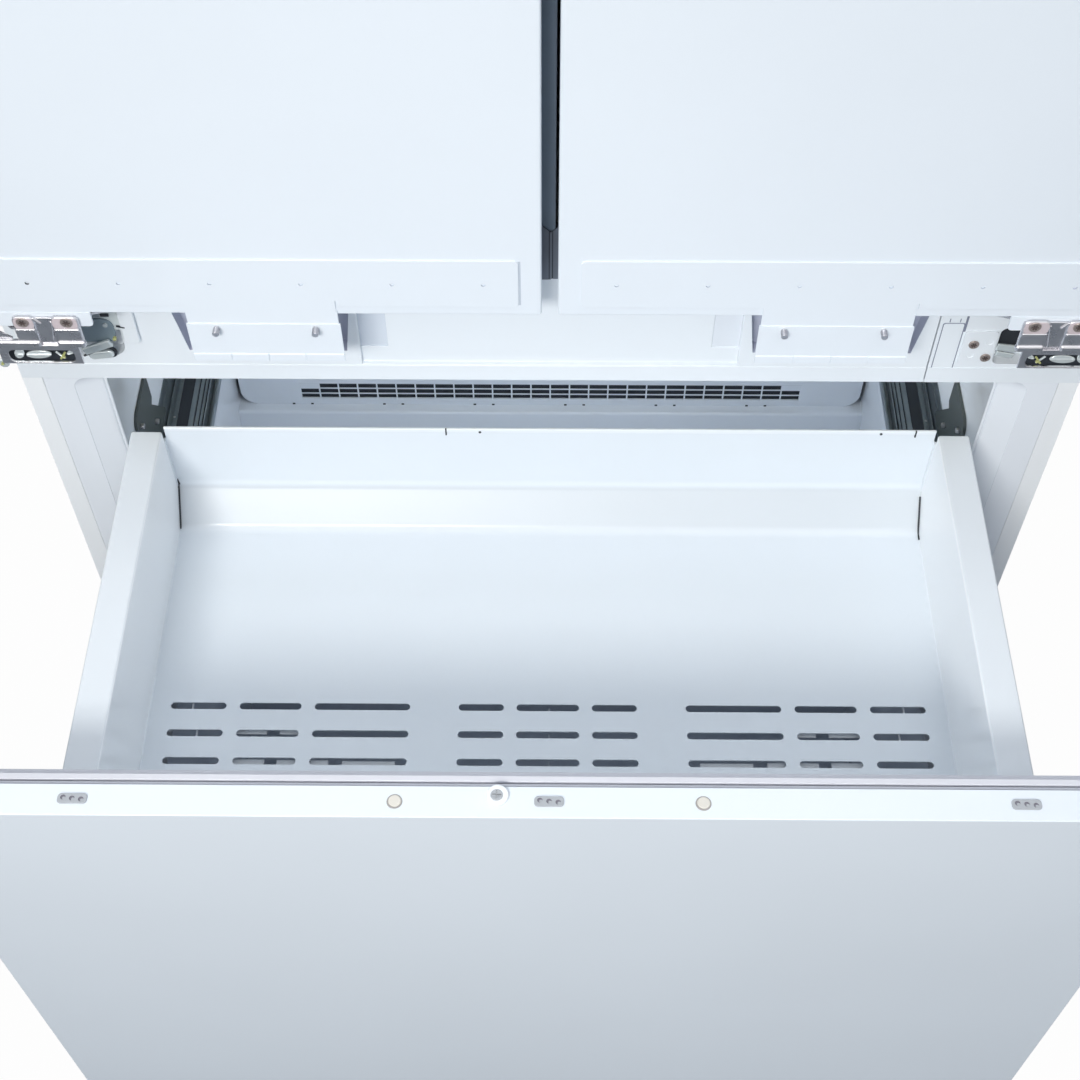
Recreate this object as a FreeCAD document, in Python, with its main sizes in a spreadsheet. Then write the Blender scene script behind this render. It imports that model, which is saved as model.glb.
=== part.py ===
import FreeCAD, Part
import os

import Sketcher

# A built-in refrigerator: two doors above, one freezer drawer below, stored with the drawer pulled out.
# X runs to the right, Y runs into the cabinet and Z runs up from the floor.
# The origin is on the floor, midway across, straight below the cabinet's front flanges.

doc = FreeCAD.newDocument("built_in_refrigerator")
sheet = doc.addObject("Spreadsheet::Sheet", "Sizes")


class Size:
    """A length or count with its number and the sheet expression that gives it."""

    def __init__(self, number, text):
        self.number = number
        self.text = text

    def __add__(self, other):
        return join(self, "+", other)

    def __radd__(self, other):
        return join(other, "+", self)

    def __sub__(self, other):
        return join(self, "-", other)

    def __rsub__(self, other):
        return join(other, "-", self)

    def __mul__(self, other):
        return join(self, "*", other)

    def __rmul__(self, other):
        return join(other, "*", self)

    def __truediv__(self, other):
        return join(self, "/", other)

    def __neg__(self):
        return join(-1, "*", self)


def as_size(value):
    return value if isinstance(value, Size) else Size(value, "(%s)" % value)


def join(left, sign, right):
    left = as_size(left)
    right = as_size(right)
    if sign == "+":
        number = left.number + right.number
    elif sign == "-":
        number = left.number - right.number
    elif sign == "*":
        number = left.number * right.number
    else:
        number = left.number / right.number
    return Size(number, "(%s %s %s)" % (left.text, sign, right.text))


def size(name, number):
    """Write one driving size into the sheet under its name."""
    size.row += 1
    cell = "B%d" % size.row
    sheet.set("A%d" % size.row, name)
    sheet.set(cell, str(number))
    sheet.setAlias(cell, name)
    return Size(number, "Sizes." + name)


size.row = 0

# Cabinet
cabinet_width = size("cabinet_width", 908)
cabinet_height = size("cabinet_height", 2125)
cabinet_depth = size("cabinet_depth", 564)
skirt_clearance = size("skirt_clearance", 25)
casing_sheet = size("casing_sheet", 1.2)
return_flange = size("return_flange", 17)
flange_gap = size("flange_gap", 0.3)
liner_wall = size("liner_wall", 2)
base_height = size("base_height", 110)
machine_depth = size("machine_depth", 172)
machine_height = size("machine_height", 172)
back_slot_bridge = size("back_slot_bridge", 16)
back_slot_height = size("back_slot_height", 6)
back_slot_rise = size("back_slot_rise", 16)
back_slot_start = size("back_slot_start", 62)
overrun = size("overrun", 5)

# Freezer compartment
freezer_wall = size("freezer_wall", 66)
freezer_floor = size("freezer_floor", 150)
freezer_ceiling = size("freezer_ceiling", 690)
freezer_back_wall = size("freezer_back_wall", 58)
freezer_step_width = size("freezer_step_width", 24)
freezer_step_depth = size("freezer_step_depth", 8)
freezer_step_drop = size("freezer_step_drop", 24)
opening_top = size("opening_top", 698)
hump_lead = size("hump_lead", 7)
hump_height = size("hump_height", 54)

# Refrigerator compartment
fridge_wall = size("fridge_wall", 50)
fridge_floor = size("fridge_floor", 855)
fridge_roof = size("fridge_roof", 65)
fridge_back_wall = size("fridge_back_wall", 64)
shelf_rib_width = size("shelf_rib_width", 12)
shelf_rib_height = size("shelf_rib_height", 10)
shelf_front = size("shelf_front", 100)
shelf_back_gap = size("shelf_back_gap", 20)
shelf_glass = size("shelf_glass", 4)
shelf_side_gap = size("shelf_side_gap", 1)
crisper_cover_height = size("crisper_cover_height", 1100)

# Cross rail between the two openings
rail_proud = size("rail_proud", 1)
rail_depth = size("rail_depth", 40)
rail_side_gap = size("rail_side_gap", 0.3)
pocket_top_outer = size("pocket_top_outer", 92)
pocket_top_inner = size("pocket_top_inner", 64.5)
pocket_foot_outer = size("pocket_foot_outer", 78)
pocket_foot_inner = size("pocket_foot_inner", 54.5)
pocket_foot = size("pocket_foot", 733)
pocket_top = size("pocket_top", 819)
pocket_depth = size("pocket_depth", 13)
recess_side_gap = size("recess_side_gap", 6.5)
recess_foot = size("recess_foot", 717)
recess_depth = size("recess_depth", 5)
end_cover_lead = size("end_cover_lead", 21)
end_cover_gap = size("end_cover_gap", 0.5)
screw_plate_inset = size("screw_plate_inset", 113)
screw_plate_width = size("screw_plate_width", 39)
screw_plate_foot = size("screw_plate_foot", 719)
screw_plate_top = size("screw_plate_top", 771)
screw_plate_sheet = size("screw_plate_sheet", 1)

# Fronts: how far the closed faces stand ahead of the flanges
front_plane = size("front_plane", 44)
front_sheet = size("front_sheet", 1)
seal_gap = size("seal_gap", 0.3)
door_pan_depth = size("door_pan_depth", 32)
door_inset = size("door_inset", 2)
door_gap = size("door_gap", 12.6)
door_foot = size("door_foot", 822)
door_top_inset = size("door_top_inset", 30)
gasket_width = size("gasket_width", 20)
gasket_margin = size("gasket_margin", 5)
inner_panel_sheet = size("inner_panel_sheet", 2.5)
bulge_inner_edge = size("bulge_inner_edge", 50)
bulge_side_gap = size("bulge_side_gap", 16)
bulge_depth = size("bulge_depth", 12)
bulge_foot_rise = size("bulge_foot_rise", 25)
bulge_top_drop = size("bulge_top_drop", 25)

# Door bins
bin_inner_edge = size("bin_inner_edge", 60)
bin_side_gap = size("bin_side_gap", 26)
bin_reach = size("bin_reach", 80)
bin_height = size("bin_height", 110)
bin_wall = size("bin_wall", 2.5)
lowest_bin_height = size("lowest_bin_height", 1140)

# Panel brackets along the door feet
strip_inner_edge = size("strip_inner_edge", 24)
strip_end_inset = size("strip_end_inset", 22)
strip_foot = size("strip_foot", 832)
strip_top = size("strip_top", 881)
strip_sheet = size("strip_sheet", 2.5)
strip_corner = size("strip_corner", 4)
strip_hole_radius = size("strip_hole_radius", 1.5)
strip_hole_height = size("strip_hole_height", 856)
strip_hole_inset = size("strip_hole_inset", 26.9)
strip_last_inset = size("strip_last_inset", 30.1)
tongue_offset = size("tongue_offset", 2)
tongue_half_width = size("tongue_half_width", 59.5)
tongue_foot = size("tongue_foot", 769)
tongue_sheet = size("tongue_sheet", 1.5)
stud_offset = size("stud_offset", 1)
stud_spacing = size("stud_spacing", 80)
stud_height = size("stud_height", 804)
stud_radius = size("stud_radius", 3)
stud_reach = size("stud_reach", 10)

# Door hinges
hinge_root_inset = size("hinge_root_inset", 107)
hinge_root_y = size("hinge_root_y", -13)
link_reach_x = size("link_reach_x", 80)
link_reach_y = size("link_reach_y", 21)
link_sheet = size("link_sheet", 3)
link_width = size("link_width", 12)
link_eye = size("link_eye", 7)
link_foot = size("link_foot", 782)
link_spacing = size("link_spacing", 18)
hinge_pin = size("hinge_pin", 3)
pin_fit = size("pin_fit", 0.05)
cup_half_width = size("cup_half_width", 10)
cup_front = size("cup_front", 22)
cup_wall = size("cup_wall", 3)
cup_clearance = size("cup_clearance", 1)
bracket_width = size("bracket_width", 79)
bracket_inset = size("bracket_inset", 7)
bracket_foot = size("bracket_foot", 766)
bracket_sheet = size("bracket_sheet", 1.5)
bracket_proud = size("bracket_proud", 2)
bracket_plate = size("bracket_plate", 3)
bracket_plate_back = size("bracket_plate_back", 16)
bracket_window_foot = size("bracket_window_foot", 771)
bracket_window_top = size("bracket_window_top", 793)
bracket_window_margin = size("bracket_window_margin", 7)
hinge_screw_inset = size("hinge_screw_inset", 14)
hinge_screw_spacing = size("hinge_screw_spacing", 33)
hinge_screw_height = size("hinge_screw_height", 810)
hinge_screw_head = size("hinge_screw_head", 6)
hinge_screw_head_height = size("hinge_screw_head_height", 2)
hinge_screw_shank = size("hinge_screw_shank", 2.5)
top_link_rise = size("top_link_rise", 8)
top_link_spacing = size("top_link_spacing", 9)

# Mullion flap between the doors
flap_end = size("flap_end", 1)
flap_start = size("flap_start", -28)
flap_depth = size("flap_depth", 14)
flap_axis_x = size("flap_axis_x", -35)
flap_knuckle = size("flap_knuckle", 5)
flap_pin = size("flap_pin", 2.5)
flap_foot_rise = size("flap_foot_rise", 15)
flap_top_drop = size("flap_top_drop", 10)
flap_tab_gap = size("flap_tab_gap", 0.4)
flap_tab_height = size("flap_tab_height", 7)
guide_half_width = size("guide_half_width", 9.5)
guide_foot = size("guide_foot", 819)
guide_top_drop = size("guide_top_drop", 2)
guide_face = size("guide_face", 0.8)
guide_depth = size("guide_depth", 12)

# Drawer, pulled out by its travel
drawer_back_gap = size("drawer_back_gap", 125)
drawer_foot = size("drawer_foot", 110)
drawer_top = size("drawer_top", 720)
drawer_pan_depth = size("drawer_pan_depth", 24)
drawer_gasket_margin = size("drawer_gasket_margin", 4)
drawer_gasket_width = size("drawer_gasket_width", 26)
plug_side_gap = size("plug_side_gap", 18)
plug_depth = size("plug_depth", 29)
plug_foot_rise = size("plug_foot_rise", 15)
plug_top_drop = size("plug_top_drop", 6)

# Tray and basket
tray_side_gap = size("tray_side_gap", 16)
tray_wall = size("tray_wall", 28)
tray_sheet = size("tray_sheet", 1.2)
tray_rim = size("tray_rim", 636)
tray_floor = size("tray_floor", 524)
tray_back = size("tray_back", -10)
tray_slope_run = size("tray_slope_run", 33)
slot_width = size("slot_width", 8.6)
slot_row_pitch = size("slot_row_pitch", 26.7)
slot_row_inset = size("slot_row_inset", 122)
slit_width = size("slit_width", 1.6)
slit_foot = size("slit_foot", 526)
slit_top = size("slit_top", 556)
basket_side_gap = size("basket_side_gap", 42)
basket_floor_rise = size("basket_floor_rise", 20)
basket_wall = size("basket_wall", 2.5)
basket_rim_reach = size("basket_rim_reach", 14)
basket_end_gap = size("basket_end_gap", 4)
basket_back_gap = size("basket_back_gap", 15)

# Telescopic slides
slide_drop = size("slide_drop", 42.8)
slide_sheet = size("slide_sheet", 2)
slide_gap = size("slide_gap", 0.5)
slide_width = size("slide_width", 42.7)
slide_wall_gap = size("slide_wall_gap", 0.3)
slide_outer_leg = size("slide_outer_leg", 32)
slide_inner_lip = size("slide_inner_lip", 12)
slide_front = size("slide_front", 14)
slide_back_gap = size("slide_back_gap", 120)
slide_middle_leg = size("slide_middle_leg", 11.5)
slide_ledge_width = size("slide_ledge_width", 14)
slide_ledge_rise = size("slide_ledge_rise", 16)
wall_bracket_start = size("wall_bracket_start", 45)
wall_bracket_end = size("wall_bracket_end", 150)
wall_bracket_rise = size("wall_bracket_rise", 71)
wall_bracket_sheet = size("wall_bracket_sheet", 3)

# Pieces on the drawer's top edge
top_line = size("top_line", 13)
adapter_length = size("adapter_length", 21)
adapter_width = size("adapter_width", 8)
adapter_sheet = size("adapter_sheet", 1.5)
adapter_spacing = size("adapter_spacing", 333)
adapter_hole = size("adapter_hole", 1.2)
adapter_hole_pitch = size("adapter_hole_pitch", 5.5)
plug_radius = size("plug_radius", 5.5)
plug_cap = size("plug_cap", 1)
plug_offset = size("plug_offset", 108)
bumper_radius = size("bumper_radius", 7.5)
bumper_height = size("bumper_height", 4)
bumper_offset = size("bumper_offset", 34)
bumper_line = size("bumper_line", 18)

# Crisper drawers
crisper_inner_edge = size("crisper_inner_edge", 8)
crisper_side_gap = size("crisper_side_gap", 8)
crisper_front = size("crisper_front", 112)
crisper_back_gap = size("crisper_back_gap", 10)
crisper_top_gap = size("crisper_top_gap", 17)
crisper_wall = size("crisper_wall", 2.5)
crisper_floor_gap = size("crisper_floor_gap", 0.3)
crisper_grip_height = size("crisper_grip_height", 12)
crisper_grip_reach = size("crisper_grip_reach", 14)

# Base and machine space
frame_rail_width = size("frame_rail_width", 40)
frame_sheet = size("frame_sheet", 2)
frame_front = size("frame_front", 8)
frame_back_inset = size("frame_back_inset", 9)
frame_plate_front = size("frame_plate_front", 60)
frame_plate_back = size("frame_plate_back", 250)
frame_plate_height = size("frame_plate_height", 38)
foot_front = size("foot_front", 60)
foot_back_inset = size("foot_back_inset", 95)
foot_radius = size("foot_radius", 18)
foot_pad = size("foot_pad", 9)
foot_stud = size("foot_stud", 6)
foot_stud_top = size("foot_stud_top", 60)
foot_fit = size("foot_fit", 0.1)
nut_radius = size("nut_radius", 10)
nut_height = size("nut_height", 10)
roller_radius = size("roller_radius", 24)
roller_width = size("roller_width", 24)
roller_lift = size("roller_lift", 1)
roller_inset = size("roller_inset", 35)
roller_axle = size("roller_axle", 4)
roller_window = size("roller_window", 54)
roller_ear = size("roller_ear", 8)
grille_front = size("grille_front", 2)
grille_depth = size("grille_depth", 4)
grille_foot = size("grille_foot", 27)
grille_slot_bridge = size("grille_slot_bridge", 14)
grille_slot_height = size("grille_slot_height", 7)
grille_row_pitch = size("grille_row_pitch", 17)
grille_first_row = size("grille_first_row", 42)
condenser_half_width = size("condenser_half_width", 260)
condenser_setback = size("condenser_setback", 90)
condenser_depth = size("condenser_depth", 70)
condenser_height = size("condenser_height", 60)
fin_sheet = size("fin_sheet", 1)
condenser_fin_pitch = size("condenser_fin_pitch", 20)
coil_tube = size("coil_tube", 4)
coil_rise = size("coil_rise", 15)
coil_run = size("coil_run", 35)
fan_plate_half = size("fan_plate_half", 60)
fan_plate_sheet = size("fan_plate_sheet", 3)
fan_plate_line = size("fan_plate_line", 190)
fan_height = size("fan_height", 73)
fan_hole = size("fan_hole", 31)
fan_blade = size("fan_blade", 28)
fan_hub = size("fan_hub", 9)
fan_hub_length = size("fan_hub_length", 9)
fan_shaft = size("fan_shaft", 2)
fan_motor = size("fan_motor", 13)
fan_motor_length = size("fan_motor_length", 20)
fan_bar = size("fan_bar", 6)
fan_gap = size("fan_gap", 1)
blade_root_half = size("blade_root_half", 5)
blade_tip_half = size("blade_tip_half", 9)
blade_sheet = size("blade_sheet", 2)
compressor_gap = size("compressor_gap", 26)
compressor_inset = size("compressor_inset", 87)
compressor_radius = size("compressor_radius", 58)
compressor_height = size("compressor_height", 128)
compressor_shoulder = size("compressor_shoulder", 22)
compressor_plate_x = size("compressor_plate_x", 84)
compressor_plate_y = size("compressor_plate_y", 50)
compressor_plate_sheet = size("compressor_plate_sheet", 3)
pan_left = size("pan_left", 60)
pan_side_inset = size("pan_side_inset", 124)
pan_length = size("pan_length", 140)
pan_back_inset = size("pan_back_inset", 14)
pan_height = size("pan_height", 35)
pan_wall = size("pan_wall", 2)
box_side_inset = size("box_side_inset", 69)
box_width = size("box_width", 125)
box_length = size("box_length", 115)
box_back_inset = size("box_back_inset", 19)
box_height = size("box_height", 85)
box_wall = size("box_wall", 2)
inlet_half_width = size("inlet_half_width", 14)
inlet_half_height = size("inlet_half_height", 10)
inlet_wall = size("inlet_wall", 2)
inlet_height = size("inlet_height", 80)

# Evaporator space behind the freezer
cover_setback = size("cover_setback", 108)
cover_sheet = size("cover_sheet", 2)
cover_width_gap = size("cover_width_gap", 4)
cover_foot = size("cover_foot", 204.5)
cover_side_gap = size("cover_side_gap", 0.5)
grille_cell_pitch = size("grille_cell_pitch", 23.4)
grille_cell_width = size("grille_cell_width", 21)
grille_cell_height = size("grille_cell_height", 6)
grille_cell_rise = size("grille_cell_rise", 9)
grille_cell_foot = size("grille_cell_foot", 214)
outlet_drop = size("outlet_drop", 50)
evaporator_side_gap = size("evaporator_side_gap", 88)
evaporator_setback = size("evaporator_setback", 86)
evaporator_depth = size("evaporator_depth", 55)
evaporator_rise = size("evaporator_rise", 100)
evaporator_height = size("evaporator_height", 180)
evaporator_fin_pitch = size("evaporator_fin_pitch", 24)
evaporator_tube_rise = size("evaporator_tube_rise", 45)
evaporator_tube_run = size("evaporator_tube_run", 28)
wall_touch_gap = size("wall_touch_gap", 0.3)
blower_rise = size("blower_rise", 410)
blower_plate_half = size("blower_plate_half", 85)
blower_setback = size("blower_setback", 76)
blower_hole = size("blower_hole", 66)
blower_blade = size("blower_blade", 60)
blower_hub = size("blower_hub", 18)
blower_hub_length = size("blower_hub_length", 18)
blower_shaft = size("blower_shaft", 3)
blower_motor = size("blower_motor", 20)
blower_motor_length = size("blower_motor_length", 22)
blower_bar = size("blower_bar", 10)

# Fittings in the refrigerator compartment and on the roof
panel_half_width = size("panel_half_width", 150)
panel_front = size("panel_front", 22)
panel_depth = size("panel_depth", 70)
panel_drop = size("panel_drop", 8)
light_front = size("light_front", 30)
light_width = size("light_width", 12)
light_sheet = size("light_sheet", 3)
light_length = size("light_length", 800)
light_top_drop = size("light_top_drop", 60)
roof_bracket_inset = size("roof_bracket_inset", 124)
roof_bracket_half = size("roof_bracket_half", 30)
roof_bracket_depth = size("roof_bracket_depth", 50)
roof_bracket_height = size("roof_bracket_height", 24)
roof_bracket_sheet = size("roof_bracket_sheet", 2)
roof_bracket_front = size("roof_bracket_front", 12)
roof_hole_radius = size("roof_hole_radius", 3)
roof_hole_spacing = size("roof_hole_spacing", 36)
cover_screw_head = size("cover_screw_head", 4.5)
cover_screw_head_height = size("cover_screw_head_height", 1.5)
cover_screw_shank = size("cover_screw_shank", 2)
cover_screw_length = size("cover_screw_length", 14)
cover_screw_one_inset = size("cover_screw_one_inset", 12)
cover_screw_one_z = size("cover_screw_one_z", 744)
cover_screw_two_inset = size("cover_screw_two_inset", 26.5)
cover_screw_two_z = size("cover_screw_two_z", 728)

# Counts and shares
strip_holes = 6
bins_per_door = 3
shelves = 4
blades = 5
grille_columns = 26
grille_rows = 3
toe_columns = 17
toe_rows = 3
back_columns = 10
back_rows = 5
adapter_holes = 3
# Each floor slot's two ends, as shares of half the tray's inner width
centre_slot_share = 0.0785
slot_shares = ((0.1105, 0.2238), (0.3459, 0.5858), (0.6192, 0.7747), (0.8081, 0.9477))

# Places that several pieces share
half_width = cabinet_width / 2
casing_inside = half_width - casing_sheet
flange_edge = half_width - return_flange - flange_gap
cabinet_top_inside = cabinet_height - casing_sheet
back_plane = cabinet_depth - casing_sheet
machine_front = cabinet_depth - machine_depth
machine_roof = machine_height - casing_sheet
back_slot_pitch = cabinet_width / (back_columns + 2)
back_slot_length = back_slot_pitch - back_slot_bridge
freezer_half_width = half_width - freezer_wall
freezer_depth = cabinet_depth - freezer_back_wall
freezer_step_half_width = freezer_half_width + freezer_step_width
hump_front = machine_front - hump_lead
fridge_half_width = half_width - fridge_wall
fridge_ceiling = cabinet_height - fridge_roof
fridge_depth = cabinet_depth - fridge_back_wall
shelf_back = fridge_depth - shelf_back_gap
shelf_pitch = (fridge_ceiling - crisper_cover_height) / shelves
rail_face = -rail_proud
rail_top = fridge_floor - liner_wall - rail_side_gap
gasket_back = -(rail_proud + seal_gap)

# Doors and their hinges
door_back = -(front_plane - door_pan_depth)
door_edge = half_width - door_inset
door_top = cabinet_height - door_top_inset
bulge_outer_edge = fridge_half_width - bulge_side_gap
bulge_foot = fridge_floor + bulge_foot_rise
bulge_top = fridge_ceiling - bulge_top_drop
bin_outer_edge = fridge_half_width - bin_side_gap
bin_pitch = (bulge_top - lowest_bin_height) / bins_per_door
strip_outer_edge = door_edge - strip_end_inset
strip_first_hole = strip_inner_edge + strip_hole_inset
strip_hole_pitch = (strip_outer_edge - strip_last_inset - strip_first_hole) / (strip_holes - 1)
tongue_middle = (strip_inner_edge + strip_outer_edge) / 2 - tongue_offset
tongue_inner_edge = tongue_middle - tongue_half_width
tongue_outer_edge = tongue_middle + tongue_half_width
stud_inner = tongue_middle + stud_offset - stud_spacing / 2
recess_half_width = tongue_middle - pocket_top_inner - recess_side_gap
bracket_outer_edge = door_edge - bracket_inset
bracket_inner_edge = bracket_outer_edge - bracket_width
hinge_screw_inner = bracket_inner_edge + hinge_screw_inset
hinge_root_x = door_edge - hinge_root_inset
hinge_far_x = hinge_root_x + link_reach_x
hinge_far_y = hinge_root_y - link_reach_y
screw_plate_left = half_width - screw_plate_inset
screw_plate_right = screw_plate_left + screw_plate_width
end_cover_start = screw_plate_left - end_cover_lead
cover_screw_one_x = screw_plate_left + cover_screw_one_inset
cover_screw_two_x = screw_plate_left + cover_screw_two_inset
flap_axis_y = flap_depth / 2
flap_foot = fridge_floor + flap_foot_rise
flap_top = fridge_ceiling - flap_top_drop
guide_top = flap_foot - guide_top_drop

# Drawer, tray, basket and slides
drawer_travel = freezer_depth - drawer_back_gap
drawer_half_width = half_width - door_inset
drawer_face = -(front_plane + drawer_travel)
drawer_pan_back = drawer_face + drawer_pan_depth
drawer_gasket_back = gasket_back - drawer_travel
drawer_plug_back = drawer_pan_back + plug_depth
plug_half_width = freezer_half_width - plug_side_gap
plug_foot = freezer_floor + plug_foot_rise
plug_top = freezer_ceiling - plug_top_drop
tray_half_width = freezer_half_width - tray_side_gap
tray_underside = tray_floor - tray_sheet
slot_middle_row = drawer_plug_back + slot_row_inset
basket_half_width = tray_half_width - basket_side_gap
basket_floor = freezer_floor + basket_floor_rise
slide_foot = tray_underside - slide_drop
slide_length = freezer_depth - slide_front - slide_back_gap
slide_outer_face = freezer_half_width - slide_wall_gap
slide_inner_face = slide_outer_face - slide_width

# Fittings, base and machine space
crisper_outer_edge = fridge_half_width - crisper_side_gap
crisper_back = shelf_back - crisper_back_gap
crisper_height = crisper_cover_height - fridge_floor - crisper_top_gap
light_top = fridge_ceiling - light_top_drop
light_foot = light_top - light_length
roof_bracket_x = half_width - roof_bracket_inset
frame_foot = skirt_clearance
frame_top = base_height
frame_back = cabinet_depth - frame_back_inset
foot_back = frame_back - foot_back_inset
roller_line = frame_back - roller_inset
grille_slot_pitch = cabinet_width / (toe_columns + 2)
grille_slot_length = grille_slot_pitch - grille_slot_bridge
compressor_y = cabinet_depth - compressor_inset
pan_right = half_width - pan_side_inset
pan_back = cabinet_depth - pan_back_inset
pan_front = pan_back - pan_length
box_left = -(half_width - box_side_inset)
box_right = box_left + box_width
box_back = cabinet_depth - box_back_inset
compressor_x = box_right + compressor_gap + compressor_plate_x
box_front = box_back - box_length
cover_front = freezer_depth - cover_setback
cover_half_width = freezer_half_width - cover_width_gap
outlet_foot = freezer_ceiling - outlet_drop
evaporator_half_width = freezer_half_width - evaporator_side_gap
evaporator_front = freezer_depth - evaporator_setback
evaporator_foot = freezer_floor + evaporator_rise
blower_height = freezer_floor + blower_rise
blower_line = freezer_depth - blower_setback

parts = {}


def keep(node, item):
    """Give a finished sub-part its name."""
    item.Label = node
    parts[node] = item
    return item


def bind(item, path, value):
    """Set a property from the sheet, and now as well, so that later steps see it."""
    item.setExpression(path, as_size(value).text)


def place(item, x, y, z):
    bind(item, ".Placement.Base.x", x)
    bind(item, ".Placement.Base.y", y)
    bind(item, ".Placement.Base.z", z)
    return item


def ordered(first, second):
    first = as_size(first)
    second = as_size(second)
    return (first, second) if first.number <= second.number else (second, first)


def box(x, y, z):
    """A block between two places along each axis, given in either order."""
    low_x, high_x = ordered(*x)
    low_y, high_y = ordered(*y)
    low_z, high_z = ordered(*z)
    item = doc.addObject("Part::Box", "block")
    bind(item, "Length", high_x - low_x)
    bind(item, "Width", high_y - low_y)
    bind(item, "Height", high_z - low_z)
    return place(item, low_x, low_y, low_z)


def rod(axis, x, y, z, radius, length):
    """A cylinder that starts at a point and runs along +X, +Y or +Z."""
    item = doc.addObject("Part::Cylinder", "rod")
    bind(item, "Radius", radius)
    bind(item, "Height", length)
    turn = {
        "X": FreeCAD.Rotation(FreeCAD.Vector(0, 1, 0), 90),
        "Y": FreeCAD.Rotation(FreeCAD.Vector(1, 0, 0), -90),
        "Z": FreeCAD.Rotation(),
    }[axis]
    item.Placement = FreeCAD.Placement(FreeCAD.Vector(), turn)
    return place(item, x, y, z)


def tapered(foot_x, top_x, y, z):
    """A block whose X range changes evenly from its foot to its top."""
    foot_low, foot_high = ordered(*foot_x)
    top_low, top_high = ordered(*top_x)
    low_y, high_y = ordered(*y)
    low_z, high_z = ordered(*z)
    item = doc.addObject("Part::Wedge", "taper")
    item.Placement = FreeCAD.Placement(FreeCAD.Vector(), FreeCAD.Rotation(FreeCAD.Vector(1, 0, 0), 90))
    bind(item, "Xmin", foot_low)
    bind(item, "Xmax", foot_high)
    bind(item, "X2min", top_low)
    bind(item, "X2max", top_high)
    bind(item, "Ymin", low_z)
    bind(item, "Ymax", high_z)
    for low, high in (("Zmin", "Zmax"), ("Z2min", "Z2max")):
        bind(item, low, -high_y)
        bind(item, high, -low_y)
    return item


def fuse(items):
    if len(items) == 1:
        return items[0]
    item = doc.addObject("Part::MultiFuse", "joined")
    item.Shapes = items
    item.Refine = True
    return item


def cut(base, tools):
    item = doc.addObject("Part::Cut", "trimmed")
    item.Base = base
    item.Tool = tools[0] if len(tools) == 1 else fuse(tools)
    item.Refine = True
    return item


def group(items):
    """Several separate solids that make one sub-part."""
    item = doc.addObject("Part::Compound", "group")
    item.Links = items
    return item


def plate_with_round_corners(x, y, z, radius):
    """A plate in the X-Z plane whose four corners are round."""
    low_x, high_x = ordered(*x)
    low_z, high_z = ordered(*z)
    low_y, high_y = ordered(*y)
    pieces = [
        box((low_x + radius, high_x - radius), y, z),
        box(x, y, (low_z + radius, high_z - radius)),
    ]
    for corner_x in (low_x + radius, high_x - radius):
        for corner_z in (low_z + radius, high_z - radius):
            pieces.append(rod("Y", corner_x, low_y, corner_z, radius, high_y - low_y))
    return fuse(pieces)


def slot_tool(x, y_middle, z, width):
    """A cutter for a slot with round ends that runs along X in a level sheet."""
    low_x, high_x = ordered(*x)
    low_z, high_z = ordered(*z)
    radius = width / 2
    return [
        box((low_x + radius, high_x - radius), (y_middle - radius, y_middle + radius), z),
        rod("Z", low_x + radius, y_middle, low_z, radius, high_z - low_z),
        rod("Z", high_x - radius, y_middle, low_z, radius, high_z - low_z),
    ]


def ring(outer_x, outer_z, width, y):
    """A rectangular frame in the X-Z plane, such as a seal."""
    low_x, high_x = ordered(*outer_x)
    low_z, high_z = ordered(*outer_z)
    low_y, high_y = ordered(*y)
    hole = box(
        (low_x + width, high_x - width),
        (low_y - overrun, high_y + overrun),
        (low_z + width, high_z - width),
    )
    return cut(box(outer_x, y, outer_z), [hole])


def open_top_bin(x, y, z, wall):
    """A bin with a floor and four walls."""
    low_x, high_x = ordered(*x)
    low_y, high_y = ordered(*y)
    low_z, high_z = ordered(*z)
    hollow = box(
        (low_x + wall, high_x - wall),
        (low_y + wall, high_y - wall),
        (low_z + wall, high_z + overrun),
    )
    return cut(box(x, y, z), [hollow])


def plane_of(body, role):
    return next(feature for feature in body.Origin.OriginFeatures if feature.Role == role)


def sketch_on(body, role, name):
    sketch = body.newObject("Sketcher::SketchObject", name)
    sketch.AttachmentSupport = [(plane_of(body, role), "")]
    sketch.MapMode = "FlatFace"
    return sketch


def outline(sketch, points):
    """A closed outline of straight edges whose corners are bound to the sheet."""
    first = sketch.GeometryCount
    vectors = [FreeCAD.Vector(as_size(x).number, as_size(y).number, 0) for x, y in points]
    count = len(points)
    for index in range(count):
        sketch.addGeometry(Part.LineSegment(vectors[index], vectors[(index + 1) % count]))
    for index in range(count):
        following = first + (index + 1) % count
        sketch.addConstraint(Sketcher.Constraint("Coincident", first + index, 2, following, 1))
    for index, (x, y) in enumerate(points):
        for kind, value in (("DistanceX", x), ("DistanceY", y)):
            number = as_size(value).number
            row = sketch.addConstraint(Sketcher.Constraint(kind, -1, 1, first + index, 1, number))
            sketch.setExpression("Constraints[%d]" % row, as_size(value).text)


def rectangle(sketch, x, y):
    outline(sketch, [(x[0], y[0]), (x[1], y[0]), (x[1], y[1]), (x[0], y[1])])


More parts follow.
